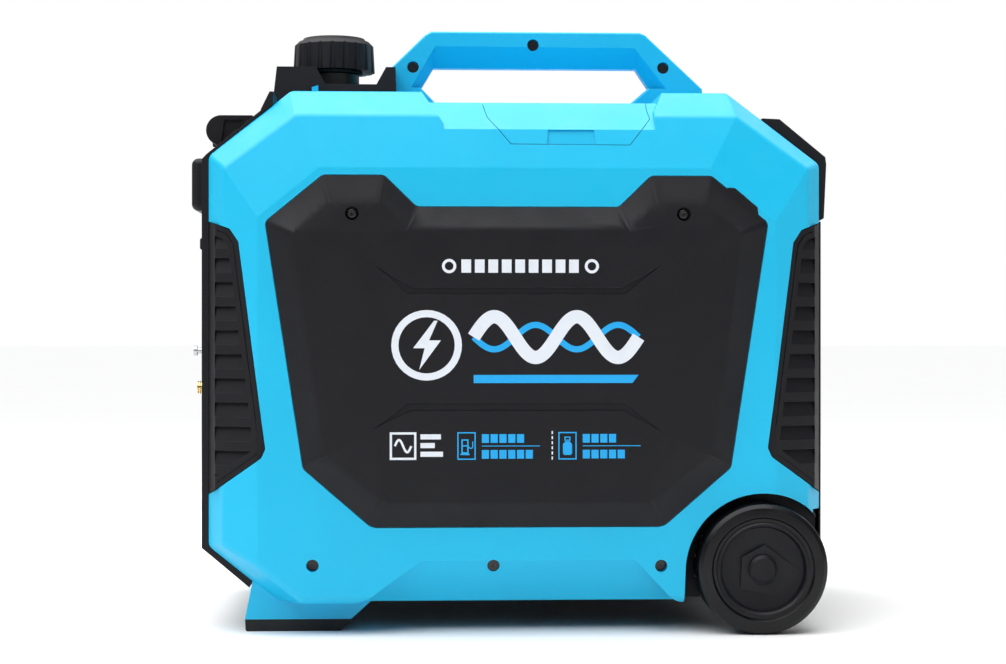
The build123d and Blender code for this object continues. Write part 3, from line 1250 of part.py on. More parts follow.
def nodes():
    """Every node's name with its shape."""
    left_handle = carry_handle()
    left_vent = vent_insert()
    left_vents = grouped(left_vent, exhaust_end_of(left_vent))
    breakers = breaker_buttons()
    covers = outlet_covers()
    yield "side_shell_left", side_shell_left()
    yield "side_shell_right", side_shell_right()
    yield "carry_handle_left", left_handle
    yield "carry_handle_right", right_of(left_handle)
    yield "body_screws", grouped(handle_screws(), shell_screws(), service_panel_screws())
    yield "service_lid", service_lid()
    yield "service_lid_hinge", grouped(service_lid_pin(), lid_hinge_eyes())
    yield "service_panel_left", service_panel()
    yield "service_panel_right", service_panel_right()
    yield "vent_inserts_left", left_vents
    yield "vent_inserts_right", right_of(left_vents)
    yield "fuel_tray", fuel_tray()
    yield "fuel_tank", fuel_tank()
    yield "fuel_cap", fuel_cap()
    yield "fuel_cap_gasket", fuel_cap_gasket()
    yield "tow_grip", tow_grip()
    yield "tow_tubes", tow_tubes()
    yield "tow_release_button", tow_release_button()
    yield "tow_sleeves", tow_sleeves()
    yield "front_cowl", front_cowl() + finger_pocket()
    yield "control_plate", control_plate()
    yield "display_hood", display_hood()
    yield "display_panel", display_panel()
    yield "start_button", start_button()
    yield "fuel_selector_knob", fuel_selector_knob()
    yield "economy_rocker", economy_rocker()
    yield "control_fittings", grouped(start_bezel(), rocker_frame(), breaker_collars(), cover_hinges())
    yield "breaker_button_ac", breakers[0]
    yield "breaker_button_dc", breakers[1]
    yield "power_outlets", grouped(duplex_outlets(), locking_outlet(), usb_ports())
    yield "outlet_cover_left", covers[0]
    yield "outlet_cover_right", covers[1]
    yield "gas_inlet", gas_inlet()
    yield "ground_terminal", ground_terminal()
    yield "rear_grille", rear_grille()
    yield "rear_shoulder_cap", rear_shoulder_cap()
    yield "base_tray", base_tray()
    yield "foot_pads", foot_pads()
    yield "axle", grouped(axle(), axle_clips())
    for side, word in ((-1, "left"), (1, "right")):
        yield f"wheel_tyre_{word}", wheel_tyre(side)
        yield f"wheel_hub_{word}", wheel_hub(side)
        yield f"wheel_cap_{word}", wheel_cap(side)
    yield "engine_mounts", engine_mounts()
    yield "engine_block", grouped(engine_block(), starter_motor())
    yield "cylinder_head", grouped(cylinder_head(), spark_plug())
    yield "crankshaft", crankshaft()
    yield "rotor", grouped(rotor(), cooling_fan())
    yield "stator", stator()
    yield "fan_shroud", grouped(fan_shroud(), recoil_housing())
    yield "recoil_pulley", recoil_pulley()
    yield "starter_rope", starter_rope()
    yield "recoil_grip", recoil_grip()
    yield "carburettor", carburettor()
    yield "air_filter_box", air_filter_box()
    yield "muffler", grouped(exhaust_pipe(), muffler())
    yield "inverter_module", inverter_module()
    yield "battery", battery()


def main():
    os.makedirs("parts", exist_ok=True)
    for name, shape in nodes():
        write(name, shape)


if __name__ == "__main__":
    main()
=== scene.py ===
import json
from math import cos, pi, radians, sin

import bmesh
import bpy
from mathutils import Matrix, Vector


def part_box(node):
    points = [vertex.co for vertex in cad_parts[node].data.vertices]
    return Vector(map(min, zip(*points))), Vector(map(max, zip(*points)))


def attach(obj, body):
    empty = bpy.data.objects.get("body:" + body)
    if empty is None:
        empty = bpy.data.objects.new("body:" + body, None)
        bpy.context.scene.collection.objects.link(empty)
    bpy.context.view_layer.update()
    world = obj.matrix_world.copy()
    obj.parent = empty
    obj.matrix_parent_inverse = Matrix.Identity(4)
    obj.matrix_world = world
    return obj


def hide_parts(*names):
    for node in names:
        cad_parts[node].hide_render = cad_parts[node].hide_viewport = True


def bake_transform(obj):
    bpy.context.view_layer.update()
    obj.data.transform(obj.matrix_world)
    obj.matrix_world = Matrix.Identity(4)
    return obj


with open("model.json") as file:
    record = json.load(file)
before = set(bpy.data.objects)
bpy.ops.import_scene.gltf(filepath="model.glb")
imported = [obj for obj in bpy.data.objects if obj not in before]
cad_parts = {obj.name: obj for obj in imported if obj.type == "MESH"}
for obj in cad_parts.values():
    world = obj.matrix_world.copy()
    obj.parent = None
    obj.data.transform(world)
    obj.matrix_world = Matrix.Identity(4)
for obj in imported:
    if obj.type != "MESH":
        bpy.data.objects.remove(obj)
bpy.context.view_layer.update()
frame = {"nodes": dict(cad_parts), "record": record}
NODES = frame["nodes"]
SLOT_OF = {part["node"]: part["material_slot"] for part in frame["record"]["subparts"]}
MM = 0.001


def added(name, mesh, material):
    """Puts a finished mesh into the scene as a new object."""
    mesh.materials.append(material)
    obj = bpy.data.objects.new(name, mesh)
    bpy.context.scene.collection.objects.link(obj)
    return obj


# ---------------------------------------------------------------- materials

MIX_A, MIX_B, MIX_RESULT = 6, 7, 2  # the colour sockets of Blender's Mix node
EDGE_WEAR_AND_SHEEN_WIDTH = 1.2 * MM
DUST = (0.32, 0.30, 0.27)


class Look:
    """One procedural material, built up from small steps."""

    def __init__(self, name, colour, roughness, metallic=0.0, specular=0.5):
        self.material = bpy.data.materials.new(name)
        self.material.use_nodes = True
        self.tree = self.material.node_tree
        self.shader = self.tree.nodes["Principled BSDF"]
        self.set("Metallic", metallic)
        self.set("Specular IOR Level", specular)
        self.colour = colour
        self.roughness = roughness
        self.height = None
        self.place = self.node("ShaderNodeTexCoord").outputs["Object"]

    def set(self, socket, value):
        self.shader.inputs[socket].default_value = value

    def node(self, kind, **settings):
        made = self.tree.nodes.new(kind)
        for key, value in settings.items():
            setattr(made, key, value)
        return made

    def feed(self, socket, value):
        """Links an output to a socket, or sets the socket to a plain value."""
        if hasattr(value, "is_linked"):
            self.tree.links.new(value, socket)
        elif isinstance(value, tuple) and len(value) == 3 and socket.type == "RGBA":
            socket.default_value = (*value, 1.0)
        else:
            socket.default_value = value

    def stretched(self, scale):
        mapping = self.node("ShaderNodeMapping")
        self.feed(mapping.inputs["Vector"], self.place)
        mapping.inputs["Scale"].default_value = scale
        return mapping.outputs["Vector"]

    def noise(self, scale, detail=3.0, stretch=None):
        made = self.node("ShaderNodeTexNoise")
        self.feed(made.inputs["Vector"], self.stretched(stretch) if stretch else self.place)
        made.inputs["Scale"].default_value = scale
        made.inputs["Detail"].default_value = detail
        return made.outputs["Fac"]

    def cells(self, scale):
        made = self.node("ShaderNodeTexVoronoi")
        self.feed(made.inputs["Vector"], self.place)
        made.inputs["Scale"].default_value = scale
        return made.outputs["Distance"]

    def waves(self, scale, direction="X", distortion=0.0):
        made = self.node("ShaderNodeTexWave", bands_direction=direction)
        self.feed(made.inputs["Vector"], self.place)
        made.inputs["Scale"].default_value = scale
        made.inputs["Distortion"].default_value = distortion
        return made.outputs["Fac"]

    def spread(self, value, low, high, to_low=0.0, to_high=1.0):
        """Maps low..high to to_low..to_high, clamped."""
        made = self.node("ShaderNodeMapRange")
        self.feed(made.inputs["Value"], value)
        for key, number in zip(("From Min", "From Max", "To Min", "To Max"), (low, high, to_low, to_high)):
            made.inputs[key].default_value = number
        return made.outputs["Result"]

    def maths(self, operation, a, b):
        made = self.node("ShaderNodeMath", operation=operation, use_clamp=True)
        self.feed(made.inputs[0], a)
        self.feed(made.inputs[1], b)
        return made.outputs[0]

    def mixed(self, share, a, b):
        made = self.node("ShaderNodeMix", data_type="RGBA")
        self.feed(made.inputs["Factor"], share)
        self.feed(made.inputs[MIX_A], a)
        self.feed(made.inputs[MIX_B], b)
        return made.outputs[MIX_RESULT]

    def edges_of_wear_and_sheen(self, width, amount):
        """Mask of the edges, both outward and inward ones, broken up by noise."""
        rounded = self.node("ShaderNodeBevel", samples=4)
        rounded.inputs["Radius"].default_value = width
        plain = self.node("ShaderNodeNewGeometry")
        dot = self.node("ShaderNodeVectorMath", operation="DOT_PRODUCT")
        self.feed(dot.inputs[0], rounded.outputs["Normal"])
        self.feed(dot.inputs[1], plain.outputs["Normal"])
        edge = self.spread(dot.outputs["Value"], 0.995, 0.86)
        return self.maths("MULTIPLY", edge, self.spread(self.noise(55, 5), 0.38, 0.68, 0.0, amount))

    def tint(self, share, colour):
        self.colour = self.mixed(share, self.colour, colour)

    def relief(self, height, depth):
        """Adds bump of that depth in metres on top of what is there."""
        made = self.node("ShaderNodeBump")
        made.inputs["Strength"].default_value = 1.0
        made.inputs["Distance"].default_value = depth
        self.feed(made.inputs["Height"], height)
        if self.height is not None:
            self.feed(made.inputs["Normal"], self.height)
        self.height = made.outputs["Normal"]

    def done(self):
        self.feed(self.shader.inputs["Base Color"], self.colour)
        self.feed(self.shader.inputs["Roughness"], self.roughness)
        if self.height is not None:
            self.feed(self.shader.inputs["Normal"], self.height)
        return self.material


def darker(colour, share):
    return tuple(c * share for c in colour)


def moulded(name, colour, rough, grain, edge_wear_and_sheen, specular, mottle, dust=0.0):
    """Moulded plastic: fine grain, slight colour drift, lighter edges and, if asked, patches of dust. The
    lighter edges are rubbed wear, and on the black plastic and the screw heads also a painted sheen.
    """
    look = Look(name, colour, rough, specular=specular)
    look.tint(look.spread(look.noise(9, 4), 0.3, 0.75), darker(colour, mottle))
    look.tint(look.spread(look.noise(140, 3), 0.55, 0.8, 0.0, 0.5), darker(colour, mottle))
    # Lighter edges: rubbed wear, and on black plastic and screw heads a painted sheen as well.
    look.tint(look.edges_of_wear_and_sheen(EDGE_WEAR_AND_SHEEN_WIDTH, 0.8), edge_wear_and_sheen)
    if dust:
        look.tint(look.spread(look.noise(22, 6), 0.58, 0.9, 0.0, dust), DUST)
    look.roughness = look.spread(look.noise(30, 5), 0.3, 0.7, rough - 0.05, rough + 0.07)
    look.relief(look.noise(1300, 2), grain)
    look.relief(look.noise(260, 2), grain * 0.9)
    return look.done()


def metal(name, colour, rough, stretch=None, pitted=0.0, tarnish=None):
    """Metal with brushing along one direction, or a cast skin, and darker patches."""
    look = Look(name, colour, rough, metallic=1.0)
    look.tint(look.spread(look.noise(18, 5), 0.35, 0.8, 0.0, 0.6), tarnish or darker(colour, 0.7))
    look.tint(look.edges_of_wear_and_sheen(0.0008, 0.7), tuple(min(1, c * 1.35) for c in colour))
    look.roughness = look.spread(look.noise(60, 5, stretch), 0.25, 0.75, rough - 0.08, rough + 0.12)
    look.relief(look.noise(900, 3, stretch), 0.00003)
    if pitted:
        look.relief(look.cells(420), pitted)
    return look.done()


def rubber(name, colour, rough, grain):
    """Rubber with paler scuffed patches and a fine skin."""
    look = Look(name, colour, rough, specular=0.3)
    look.tint(look.spread(look.noise(24, 5), 0.45, 0.8, 0.0, 0.4), tuple(2.5 * c for c in colour))
    look.tint(look.edges_of_wear_and_sheen(EDGE_WEAR_AND_SHEEN_WIDTH, 0.5), (0.030, 0.030, 0.031))
    look.roughness = look.spread(look.noise(45, 5), 0.3, 0.7, rough - 0.06, rough + 0.1)
    look.relief(look.noise(1100, 3), grain)
    return look.done()


def windings():
    """Enamelled copper wire laid side by side, with painted shade in the grooves between the turns."""
    look = Look("copper_windings", (0.52, 0.17, 0.05), 0.32, metallic=1.0)
    turns = look.waves(180, "DIAGONAL", 0.6)
    # Painted shade: darker where the turns dip, in the grooves between the wires.
    look.tint(look.spread(turns, 0.1, 0.5, 0.8, 0.0), (0.10, 0.03, 0.01))
    look.relief(turns, 0.0004)
    return look.done()


def braided():
    """Starter cord with a plaited sheath, painted shade between the strands and a coloured tracer."""
    look = Look("rope", (0.62, 0.61, 0.58), 0.8, specular=0.2)
    strands = look.waves(700, "DIAGONAL", 1.2)
    # Painted shade: darker where the strands dip, between the plaits.
    look.tint(look.spread(strands, 0.0, 0.45, 0.7, 0.0), (0.12, 0.12, 0.12))
    look.tint(look.spread(look.waves(160, "Y"), 0.86, 0.95), (0.55, 0.05, 0.03))
    look.relief(strands, 0.0004)
    return look.done()


def screen_glass():
    """Dark display window with faint smears."""
    look = Look("screen", (0.010, 0.014, 0.016), 0.10, specular=0.6)
    look.tint(look.spread(look.noise(30, 4), 0.55, 0.8, 0.0, 0.4), (0.02, 0.024, 0.026))
    look.roughness = look.spread(look.noise(70, 5), 0.4, 0.8, 0.06, 0.2)
    look.set("Coat Weight", 0.6)
    look.set("Coat Roughness", 0.05)
    return look.done()


def gloss_red():
    """Glossy red cap of the start button, worn at its rim."""
    look = Look("red_button", (0.55, 0.012, 0.010), 0.25)
    look.tint(look.spread(look.noise(60, 4), 0.5, 0.8, 0.0, 0.5), (0.36, 0.008, 0.008))
    look.tint(look.edges_of_wear_and_sheen(0.0008, 0.6), (0.75, 0.16, 0.12))
    look.roughness = look.spread(look.noise(90, 4), 0.3, 0.8, 0.18, 0.4)
    look.relief(look.noise(700, 2), 0.00001)
    look.set("Coat Weight", 0.3)
    return look.done()


def printed(name, colour, rough=0.45):
    """Screen-printed ink, a little uneven, with the panel's grain showing through."""
    look = Look(name, colour, rough)
    look.tint(look.spread(look.noise(80, 5), 0.55, 0.85, 0.0, 0.35), darker(colour, 0.8))
    look.roughness = look.spread(look.noise(50, 4), 0.3, 0.7, rough - 0.05, rough + 0.1)
    look.relief(look.noise(1300, 2), 0.00003)
    return look.done()


LOOKS = {
    "blue_plastic": moulded(
        "blue_plastic", (0.004, 0.48, 0.77), 0.40, 0.00006, edge_wear_and_sheen=(0.08, 0.60, 0.88),
        specular=0.42, mottle=0.95),
    # The pale edge colour of the black plastic paints a sheen on its edges, partly rubbed wear.
    "black_plastic": moulded(
        "black_plastic", (0.0045, 0.0045, 0.0072), 0.50, 0.00009, edge_wear_and_sheen=(0.026, 0.026, 0.031), specular=0.28,
        mottle=0.8, dust=0.012),
    "dark_grey_plastic": moulded(
        "dark_grey_plastic", (0.022, 0.023, 0.026), 0.44, 0.00006, edge_wear_and_sheen=(0.08, 0.08, 0.085), specular=0.4,
        mottle=0.85, dust=0.02),
    "tank_plastic": moulded(
        "tank_plastic", (0.020, 0.020, 0.021), 0.38, 0.00005, edge_wear_and_sheen=(0.06, 0.06, 0.06),
        specular=0.5, mottle=0.8, dust=0.08),
    "rubber_black": rubber("rubber_black", (0.012, 0.012, 0.013), 0.62, 0.0001),
    "tyre_rubber": rubber("tyre_rubber", (0.0020, 0.0020, 0.0028), 0.30, 0.00004),
    "steel": metal("steel", (0.60, 0.61, 0.63), 0.30, (1, 12, 12)),
    "cast_aluminium": metal("cast_aluminium", (0.66, 0.67, 0.69), 0.48, None, 0.00012),
    "cast_iron_dark": metal("cast_iron_dark", (0.17, 0.17, 0.18), 0.55, None, 0.00015, (0.16, 0.10, 0.07)),
    "copper_windings": windings(),
    "brass_fitting": metal("brass_fitting", (0.78, 0.57, 0.25), 0.26, (10, 1, 10), 0.0, (0.45, 0.30, 0.12)),
    "screen": screen_glass(),
    "red_button": gloss_red(),
    "rope": braided(),
}
# The pale edge colour on the glossy black screw heads paints a highlight ring round their rims, partly
# rubbed wear.
BLACK_SCREW = moulded(
    "screw_black", (0.004, 0.004, 0.005), 0.28, 0.00003, edge_wear_and_sheen=(0.10, 0.10, 0.11), specular=0.6, mottle=0.85)
WHITE_INK = printed("ink_white", (0.72, 0.76, 0.82))
BLUE_INK = printed("ink_blue", (0.002, 0.36, 0.78))
SCREEN_INK = printed("ink_screen", (0.30, 0.62, 0.72), 0.3)

# ---------------------------------------------------------------- carried-over CAD nodes


WELD_GAP = 0.01 * MM
CREASE_ANGLE = radians(28)
EDGE = 0.6 * MM
SHELL_EDGE = 1.4 * MM
WIDE_EDGED = ("side_shell_left", "side_shell_right", "wheel_tyre_left", "wheel_tyre_right",
              "rear_shoulder_cap")


def finish_node(name, material, edge):
    """Material, smooth shading and small rounded edges for a CAD node. Its vertices stay."""
    node = NODES[name]
    node.data.materials.clear()
    node.data.materials.append(material)
    for kind in ("custom_normal", "sharp_edge", "sharp_face"):
        if kind in node.data.attributes:
            node.data.attributes.remove(node.data.attributes[kind])
    node.data.shade_smooth()
    weld = node.modifiers.new("weld", "WELD")
    weld.merge_threshold = WELD_GAP
    bevel = node.modifiers.new("edges", "BEVEL")
    bevel.width = edge
    bevel.segments = 2
    bevel.limit_method = "ANGLE"
    bevel.angle_limit = CREASE_ANGLE
    bevel.use_clamp_overlap = True
    bevel.harden_normals = False
    normals = node.modifiers.new("normals", "WEIGHTED_NORMAL")
    normals.mode = "FACE_AREA"
    normals.weight = 80
    normals.keep_sharp = False


for name, slot in SLOT_OF.items():
    finish_node(name, LOOKS[slot], SHELL_EDGE if name in WIDE_EDGED else EDGE)
NODES["body_screws"].data.materials[0] = BLACK_SCREW


# ---------------------------------------------------------------- printed symbols

INK_PROUD = 0.15 * MM
INK_SUNK = 0.3 * MM
PANEL_FACE_Y = 218


class Print:
    """Thin raised symbols on a flat face, drawn in millimetres to the right and up."""

    def __init__(self, name, origin, right, up=(0, 0, 1), proud=INK_PROUD):
        self.name = name
        self.mesh = bmesh.new()
        self.origin = Vector(origin)
        self.right = Vector(right)
        self.up = Vector(up)
        self.out = self.right.cross(self.up)
        self.proud = proud

    def corner(self, point, height):
        flat = self.right * (point[0] * MM) + self.up * (point[1] * MM)
        return self.mesh.verts.new(self.origin + flat + self.out * height)

    def strip(self, left, right, closed=False):
        """Band between two polylines with the same number of points."""
        tops = [(self.corner(a, self.proud), self.corner(b, self.proud)) for a, b in zip(left, right)]
        lows = [(self.corner(a, -INK_SUNK), self.corner(b, -INK_SUNK)) for a, b in zip(left, right)]
        count = len(tops)
        for i in range(count if closed else count - 1):
            j = (i + 1) % count
            self.mesh.faces.new((tops[i][0], tops[j][0], tops[j][1], tops[i][1]))
            self.mesh.faces.new((lows[i][1], lows[j][1], lows[j][0], lows[i][0]))
            self.mesh.faces.new((lows[i][0], lows[j][0], tops[j][0], tops[i][0]))
            self.mesh.faces.new((tops[i][1], tops[j][1], lows[j][1], lows[i][1]))
        if not closed:
            for i in (0, count - 1):
                self.mesh.faces.new((lows[i][0], tops[i][0], tops[i][1], lows[i][1]))

    def shape(self, points):
        tops = [self.corner(point, self.proud) for point in points]
        lows = [self.corner(point, -INK_SUNK) for point in points]
        self.mesh.faces.new(tops)
        self.mesh.faces.new(lows[::-1])
        for i in range(len(points)):
            j = (i + 1) % len(points)
            self.mesh.faces.new((lows[i], lows[j], tops[j], tops[i]))

    def bar(self, x0, z0, x1, z1):
        self.shape([(x0, z0), (x1, z0), (x1, z1), (x0, z1)])

    def arc(self, x, z, radius, width, start=0.0, end=360.0):
        """Ring of that mean radius, or a piece of one between two angles in degrees."""
        closed = end - start >= 360.0
        steps = max(8, int((end - start) / 10))
        angles = [radians(start + (end - start) * i / steps) for i in range(steps + (0 if closed else 1))]
        radii = (radius + width / 2, radius - width / 2)
        outer, inner = [[(x + r * cos(a), z + r * sin(a)) for a in angles] for r in radii]
        self.strip(outer, inner, closed)

    def frame(self, x0, z0, x1, z1, width):
        outer = [(x0, z0), (x1, z0), (x1, z1), (x0, z1)]
        x0, z0, x1, z1 = x0 + width, z0 + width, x1 - width, z1 - width
        inner = [(x0, z0), (x1, z0), (x1, z1), (x0, z1)]
        self.strip(outer, inner, True)

    def wave(self, x0, x1, z, swing, period, width):
        """Sine wave of even width."""
        steps = 96
        upper, lower = [], []
        for i in range(steps + 1):
            x = x0 + (x1 - x0) * i / steps
            angle = 2 * pi * (x - x0) / period
            across = Vector((-swing * 2 * pi / period * cos(angle), 1)).normalized() * (width / 2)
            middle = z + swing * sin(angle)
            upper.append((x + across.x, middle + across.y))
            lower.append((x - across.x, middle - across.y))
        self.strip(upper, lower)

    def done(self, material, slot_name="black_plastic"):
        """Every print is on a face of the chassis, so it rides there."""
        bmesh.ops.recalc_face_normals(self.mesh, faces=self.mesh.faces[:])
        made = bpy.data.meshes.new(self.name)
        self.mesh.to_mesh(made)
        obj = added(self.name, made, material)
        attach(obj, "chassis")


def bolt(ink, x, z, size):
    """Lightning bolt of that half height around its middle."""
    points = [(0.30, 1.0), (-0.55, -0.12), (-0.08, -0.12), (-0.30, -1.0),
              (0.58, 0.20), (0.10, 0.20), (0.45, 1.0)]
    ink.shape([(x + px * size, z + pz * size) for px, pz in points])


def level_blocks(ink, x, z, count, size=7.0):
    """Row of blocks like a level gauge."""
    for i in range(count):
        ink.bar(x + i * (size + 1.6), z, x + i * (size + 1.6) + size, z + 8.5)


def pump(ink, x, z):
    """Petrol pump in an outlined box, lower left corner given."""
    ink.frame(x, z, x + 18, z + 27, 1.2)
    ink.frame(x + 4, z + 6, x + 11, z + 20, 1.3)
    ink.bar(x + 5.3, z + 13, x + 9.7, z + 14.2)
    ink.bar(x + 3, z + 4.6, x + 12, z + 6)
    ink.arc(x + 13.2, z + 13, 1.9, 1.0, 180, 360)
    ink.bar(x + 14.6, z + 13, x + 15.6, z + 18)


def bottle(ink, x, z):
    """Gas bottle in an outlined box, lower left corner given."""
    ink.frame(x, z, x + 18, z + 27, 1.2)
    body = [(4.5, 6), (6, 4.5), (12, 4.5), (13.5, 6), (13.5, 15), (11, 18), (7, 18), (4.5, 15)]
    ink.shape([(x + px, z + pz) for px, pz in body])
    ink.frame(x + 6, z + 18.4, x + 12, z + 22.5, 1.1)


def panel_print(side):
    """Generic symbols on a service panel; side is -1 for the left panel and 1 for the right."""
    face = [(0, side * PANEL_FACE_Y * MM, 0), (-side, 0, 0)]
    which = "left" if side < 0 else "right"
    white = Print("panel_print_white_%s" % which, *face)
    blue = Print("panel_print_blue_%s" % which, *face, proud=INK_PROUD * 0.6)
    white.arc(-62, 363.5, 5.6, 2.8)
    white.arc(78, 363.5, 5.6, 2.8)
    for i in range(9):
        white.bar(-50 + i * 13.2, 357, -40.5 + i * 13.2, 370)
    if side < 0:
        white.arc(-84, 286, 31, 7)
        bolt(white, -84, 286, 24)
        white.wave(-38, 124, 294, 20, 81, 13)
        blue.wave(-38, 124, 294, -12, 81, 6)
        blue.shape([(-38, 249), (118, 249), (124, 257), (-38, 257)])
    else:
        white.arc(-14, 293, 20, 5)
        bolt(white, -14, 293, 15.5)
        white.wave(20, 124, 297, 14, 52, 9)
        blue.wave(20, 124, 297, -9, 52, 4.5)
        blue.shape([(20, 266), (119, 266), (124, 272), (20, 272)])
    white.frame(-120, 174, -94, 201, 2.2)
    white.wave(-115, -99, 187.5, 6, 16, 2.2)
    for z, end in ((194, -70), (185.5, -76), (177, -68)):
        white.bar(-90, z, end, z + 5)
    for i in range(6):
        white.bar(38.4, 174 + i * 5, 39.7, 177 + i * 5)
    pump(blue, -54, 174)
    bottle(blue, 45, 174)
    for x, upper, lower in ((-30, 5, 6), (69, 4, 5)):
        level_blocks(blue, x, 190.5, upper)
        level_blocks(blue, x, 175, lower)
        blue.bar(x, 187, x + 57, 187.8)
    white.done(WHITE_INK)
    blue.done(BLUE_INK)


# Middles of the controls, in millimetres to the right and up on the control end.
SELECTOR = Vector((104, 389))
START_BUTTON = Vector((-104, 389))
BREAKERS = ((-64, 327.5), (-104, 327.5))


def dial(ink, middle):
    """Thirteen marks round the upper half of a knob, every third one longer."""
    for i in range(13):
        turn = radians(90 + 15 * (i - 6))
        ahead, side = Vector((cos(turn), sin(turn))), Vector((-sin(turn), cos(turn))) * 0.45
        near, far = middle + ahead * 22.5, middle + ahead * (26.5 if i % 3 == 0 else 24.6)
        ink.shape([near - side, far - side, far + side, near + side])


def power_symbol(ink, x, z):
    ink.arc(x, z, 3.6, 1.1, 120, 420)
    ink.bar(x - 0.5, z, x + 0.5, z + 5)


def earth_symbol(ink, x, z):
    ink.bar(x - 0.6, z + 1, x + 0.6, z + 6)
    for i, half in enumerate((5, 3.2, 1.5)):
        ink.bar(x - half, z - 2.2 * i, x + half, z + 1 - 2.2 * i)


def direct_symbol(ink, x, z):
    """Full line over three dashes."""
    ink.bar(x, z + 3, x + 12, z + 4)
    for i in range(3):
        ink.bar(x + i * 4.5, z, x + 3 + i * 4.5, z + 1)


def control_print():
    """Symbols beside the controls on the plate at the control end."""
    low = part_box("control_plate")[0]
    face = [(low[0], 0, 0), (0, -1, 0)]
    white = Print("control_print_white", *face)
    blue = Print("control_print_blue", *face)
    dial(white, SELECTOR)
    pump(white, SELECTOR.x - 42, SELECTOR.y - 31)
    bottle(white, SELECTOR.x + 22, SELECTOR.y - 31)
    white.arc(START_BUTTON.x, START_BUTTON.y, 18.6, 1.2)
    power_symbol(white, START_BUTTON.x, START_BUTTON.y + 23)
    for x, z in BREAKERS:
        white.arc(x, z, 8.6, 0.9)
    white.wave(-110, -98, 342, 2.4, 12, 1.1)
    direct_symbol(white, -70, 340)
    blue.arc(104, 322, 4.5, 1.2, 20, 320)
    bolt(blue, 104, 322, 3.4)
    white.frame(-17, 374, 17, 377, 0.8)
    earth_symbol(white, 128, 291)
    white.wave(-48, -32, 288, 3, 16, 1.3)
    white.arc(-40, 250, 27, 0.9)
    for x in (-60, 60):
        white.frame(x - 43, 134, x + 43, 197.5, 0.9)
        white.wave(x - 8, x + 8, 203.5, 2.6, 16, 1.2)
    white.done(WHITE_INK)
    blue.done(BLUE_INK)


def zero(ink, x, z, height):
    """Seven-segment zero, lower left corner given. Its middle segment is off."""
    width, line, half = height * 0.52, height * 0.11, height / 2
    low, high = half - line / 2, half + line / 2
    ink.bar(x + line, z + height - line, x + width - line, z + height)
    ink.bar(x + width - line, z + high, x + width, z + height - line)
    ink.bar(x + width - line, z + line, x + width, z + low)
    ink.bar(x + line, z, x + width - line, z + line)
    ink.bar(x, z + line, x + line, z + low)
    ink.bar(x, z + high, x + line, z + height - line)


def screen_print():
    """Figures and bars on the display window."""
    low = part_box("display_panel")[0]
    ink = Print("display_figures", (low[0], 0, 0), (0, -1, 0))
    for i in range(3):
        zero(ink, -44 + i * 9, 438, 13)
        zero(ink, 16 + i * 9, 438, 13)
    for i in range(8):
        ink.bar(-12 + i * 3.2, 438, -9.8 + i * 3.2, 440 + i * 1.6)
    ink.frame(-46.5, 434.5, 46.5, 456.5, 0.5)
    ink.done(SCREEN_INK, slot_name="screen")


# ---------------------------------------------------------------- starter cord

# Radius of the cord and of its bend, then its place: up at CORD_Y, out along CORD_TOP_Z to CORD_END_Y.
CORD_R, CORD_BEND = 0.002, 0.012
CORD_X = 0.111
CORD_Y, CORD_END_Y = 0.166, 0.203
CORD_LOW_Z, CORD_TOP_Z = 0.185, 0.300
AROUND = 12  # sides of the cord


def cord_route():
    """(Y, Z) and heading of each section: up from the pulley, round a bend and out to the grip."""
    rise = CORD_TOP_Z - CORD_BEND - CORD_LOW_Z
    out = CORD_Y + CORD_BEND
    route = [((CORD_Y, CORD_LOW_Z + rise * i / 20), 0.0) for i in range(20)]
    for i in range(13):
        turn = pi / 2 * i / 12
        middle = (CORD_Y + CORD_BEND * (1 - cos(turn)), CORD_TOP_Z - CORD_BEND * (1 - sin(turn)))
        route.append((middle, turn))
    for i in range(1, 41):
        route.append(((out + (CORD_END_Y - out) * i / 40, CORD_TOP_Z), pi / 2))
    return route


def starter_cord():
    """Cord that starts at the pulley at one end and reaches the grip at the other."""
    mesh = bmesh.new()
    rings = []
    for (y, z), turn in cord_route():
        ring = []
        for i in range(AROUND):
            angle = 2 * pi * i / AROUND
            across = CORD_R * sin(angle)
            spot = (CORD_X + CORD_R * cos(angle), y + across * cos(turn), z - across * sin(turn))
            ring.append(mesh.verts.new(spot))
        rings.append(ring)
    for low, high in zip(rings, rings[1:]):
        for i in range(AROUND):
            j = (i + 1) % AROUND
            mesh.faces.new((low[i], low[j], high[j], high[i]))
    mesh.faces.new(rings[0][::-1])
    mesh.faces.new(rings[-1])
    bmesh.ops.recalc_face_normals(mesh, faces=mesh.faces[:])
    made = bpy.data.meshes.new("starter_cord")
    mesh.to_mesh(made)
    made.shade_smooth()
    cord = added("starter_cord", made, LOOKS["rope"])
    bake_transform(cord)
    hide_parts("starter_rope")


# The cord first, then what is printed on the two panels, the control plate and the display.
starter_cord()
for side in (-1, 1):
    panel_print(side)
control_print()
screen_print()


# ---------------------------------------------------------------- floor, lights, camera


FLOOR_HALF = 40.0
AIM = (0, 0, 0.3)


def aimed(obj, place, target):
    """Puts a light in place, turned to the target."""
    obj.location = place
    obj.rotation_mode = "QUATERNION"
    obj.rotation_quaternion = (Vector(target) - Vector(place)).to_track_quat("-Z", "Y")
    bpy.context.scene.collection.objects.link(obj)


def softbox(name, place, size, power):
    lamp = bpy.data.lights.new(name, "AREA")
    lamp.shape = "RECTANGLE"
    lamp.size, lamp.size_y = size
    lamp.energy = power
    aimed(bpy.data.objects.new(name, lamp), place, AIM)


def floor():
    """Plain pale floor with a faintly uneven finish."""
    made = bpy.data.meshes.new("floor")
    half = FLOOR_HALF
    corners = [(-half, -half, 0), (half, -half, 0), (half, half, 0), (-half, half, 0)]
    made.from_pydata(corners, [], [(0, 1, 2, 3)])
    look = Look("floor", (0.91, 0.91, 0.91), 0.7, specular=0.2)
    look.tint(look.spread(look.noise(2, 4), 0.4, 0.7, 0.0, 0.5), (0.89, 0.89, 0.895))
    added("floor", made, look.done())


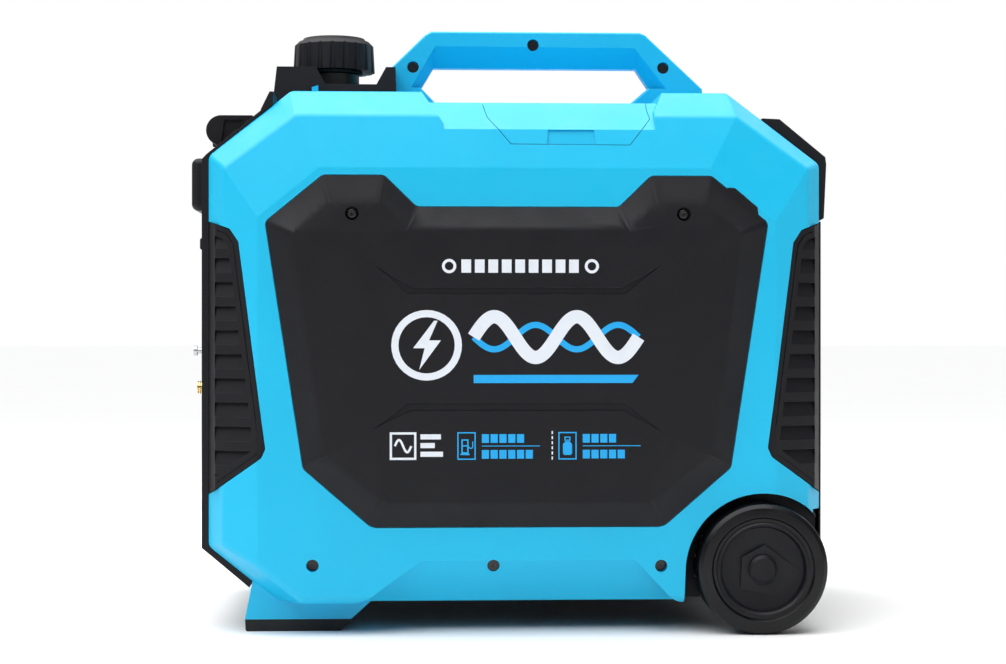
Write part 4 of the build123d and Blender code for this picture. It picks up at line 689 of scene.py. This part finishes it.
def sky():
    """One very soft sun, from above and a little to the front."""
    sun = bpy.data.lights.new("sky", "SUN")
    sun.energy = 3.4
    sun.angle = radians(70)
    aimed(bpy.data.objects.new("sky", sun), (-0.8, -0.9, 3.0), (0, 0, 0))


def studio():
    """Dim even light all round, while the camera itself sees a white backdrop."""
    world = bpy.data.worlds.new("studio")
    world.use_nodes = True
    bpy.context.scene.world = world
    tree = world.node_tree
    ambient = tree.nodes["Background"]
    ambient.inputs["Color"].default_value = (0.95, 0.97, 1.0, 1)
    ambient.inputs["Strength"].default_value = 0.15
    backdrop = tree.nodes.new("ShaderNodeBackground")
    backdrop.inputs["Color"].default_value = (1, 1, 1, 1)
    backdrop.inputs["Strength"].default_value = 1.0
    ray = tree.nodes.new("ShaderNodeLightPath")
    mix = tree.nodes.new("ShaderNodeMixShader")
    tree.links.new(ray.outputs["Is Camera Ray"], mix.inputs[0])
    tree.links.new(ambient.outputs[0], mix.inputs[1])
    tree.links.new(backdrop.outputs[0], mix.inputs[2])
    tree.links.new(mix.outputs[0], tree.nodes["World Output"].inputs[0])


def camera():
    """Looks level at the left side, from a little towards the control end."""
    lens = bpy.data.cameras.new("camera")
    lens.lens = 71.42
    lens.sensor_width = 36
    made = bpy.data.objects.new("camera", lens)
    made.location = (-0.0945, -2.17, 0.299)
    made.rotation_euler = (radians(90), 0, radians(-2.5))
    bpy.context.scene.collection.objects.link(made)
    bpy.context.scene.camera = made


SOFTBOXES = (  # name, place and size in metres, power in watts
    ("key", (-1.7, -2.1, 1.9), (1.6, 1.6), 5),
    ("fill", (2.0, -1.9, 1.5), (1.4, 1.4), 2),
    ("above", (0.0, 0.25, 1.95), (3.2, 1.5), 34),
    ("back_left", (-1.9, 2.0, 1.8), (1.4, 1.4), 12),
    ("back_right", (1.9, 2.1, 1.6), (1.4, 1.4), 9),
)

floor()
for name, place, size, power in SOFTBOXES:
    softbox(name, place, size, power)
sky()
studio()
camera()
bpy.context.scene.view_settings.view_transform = "Standard"
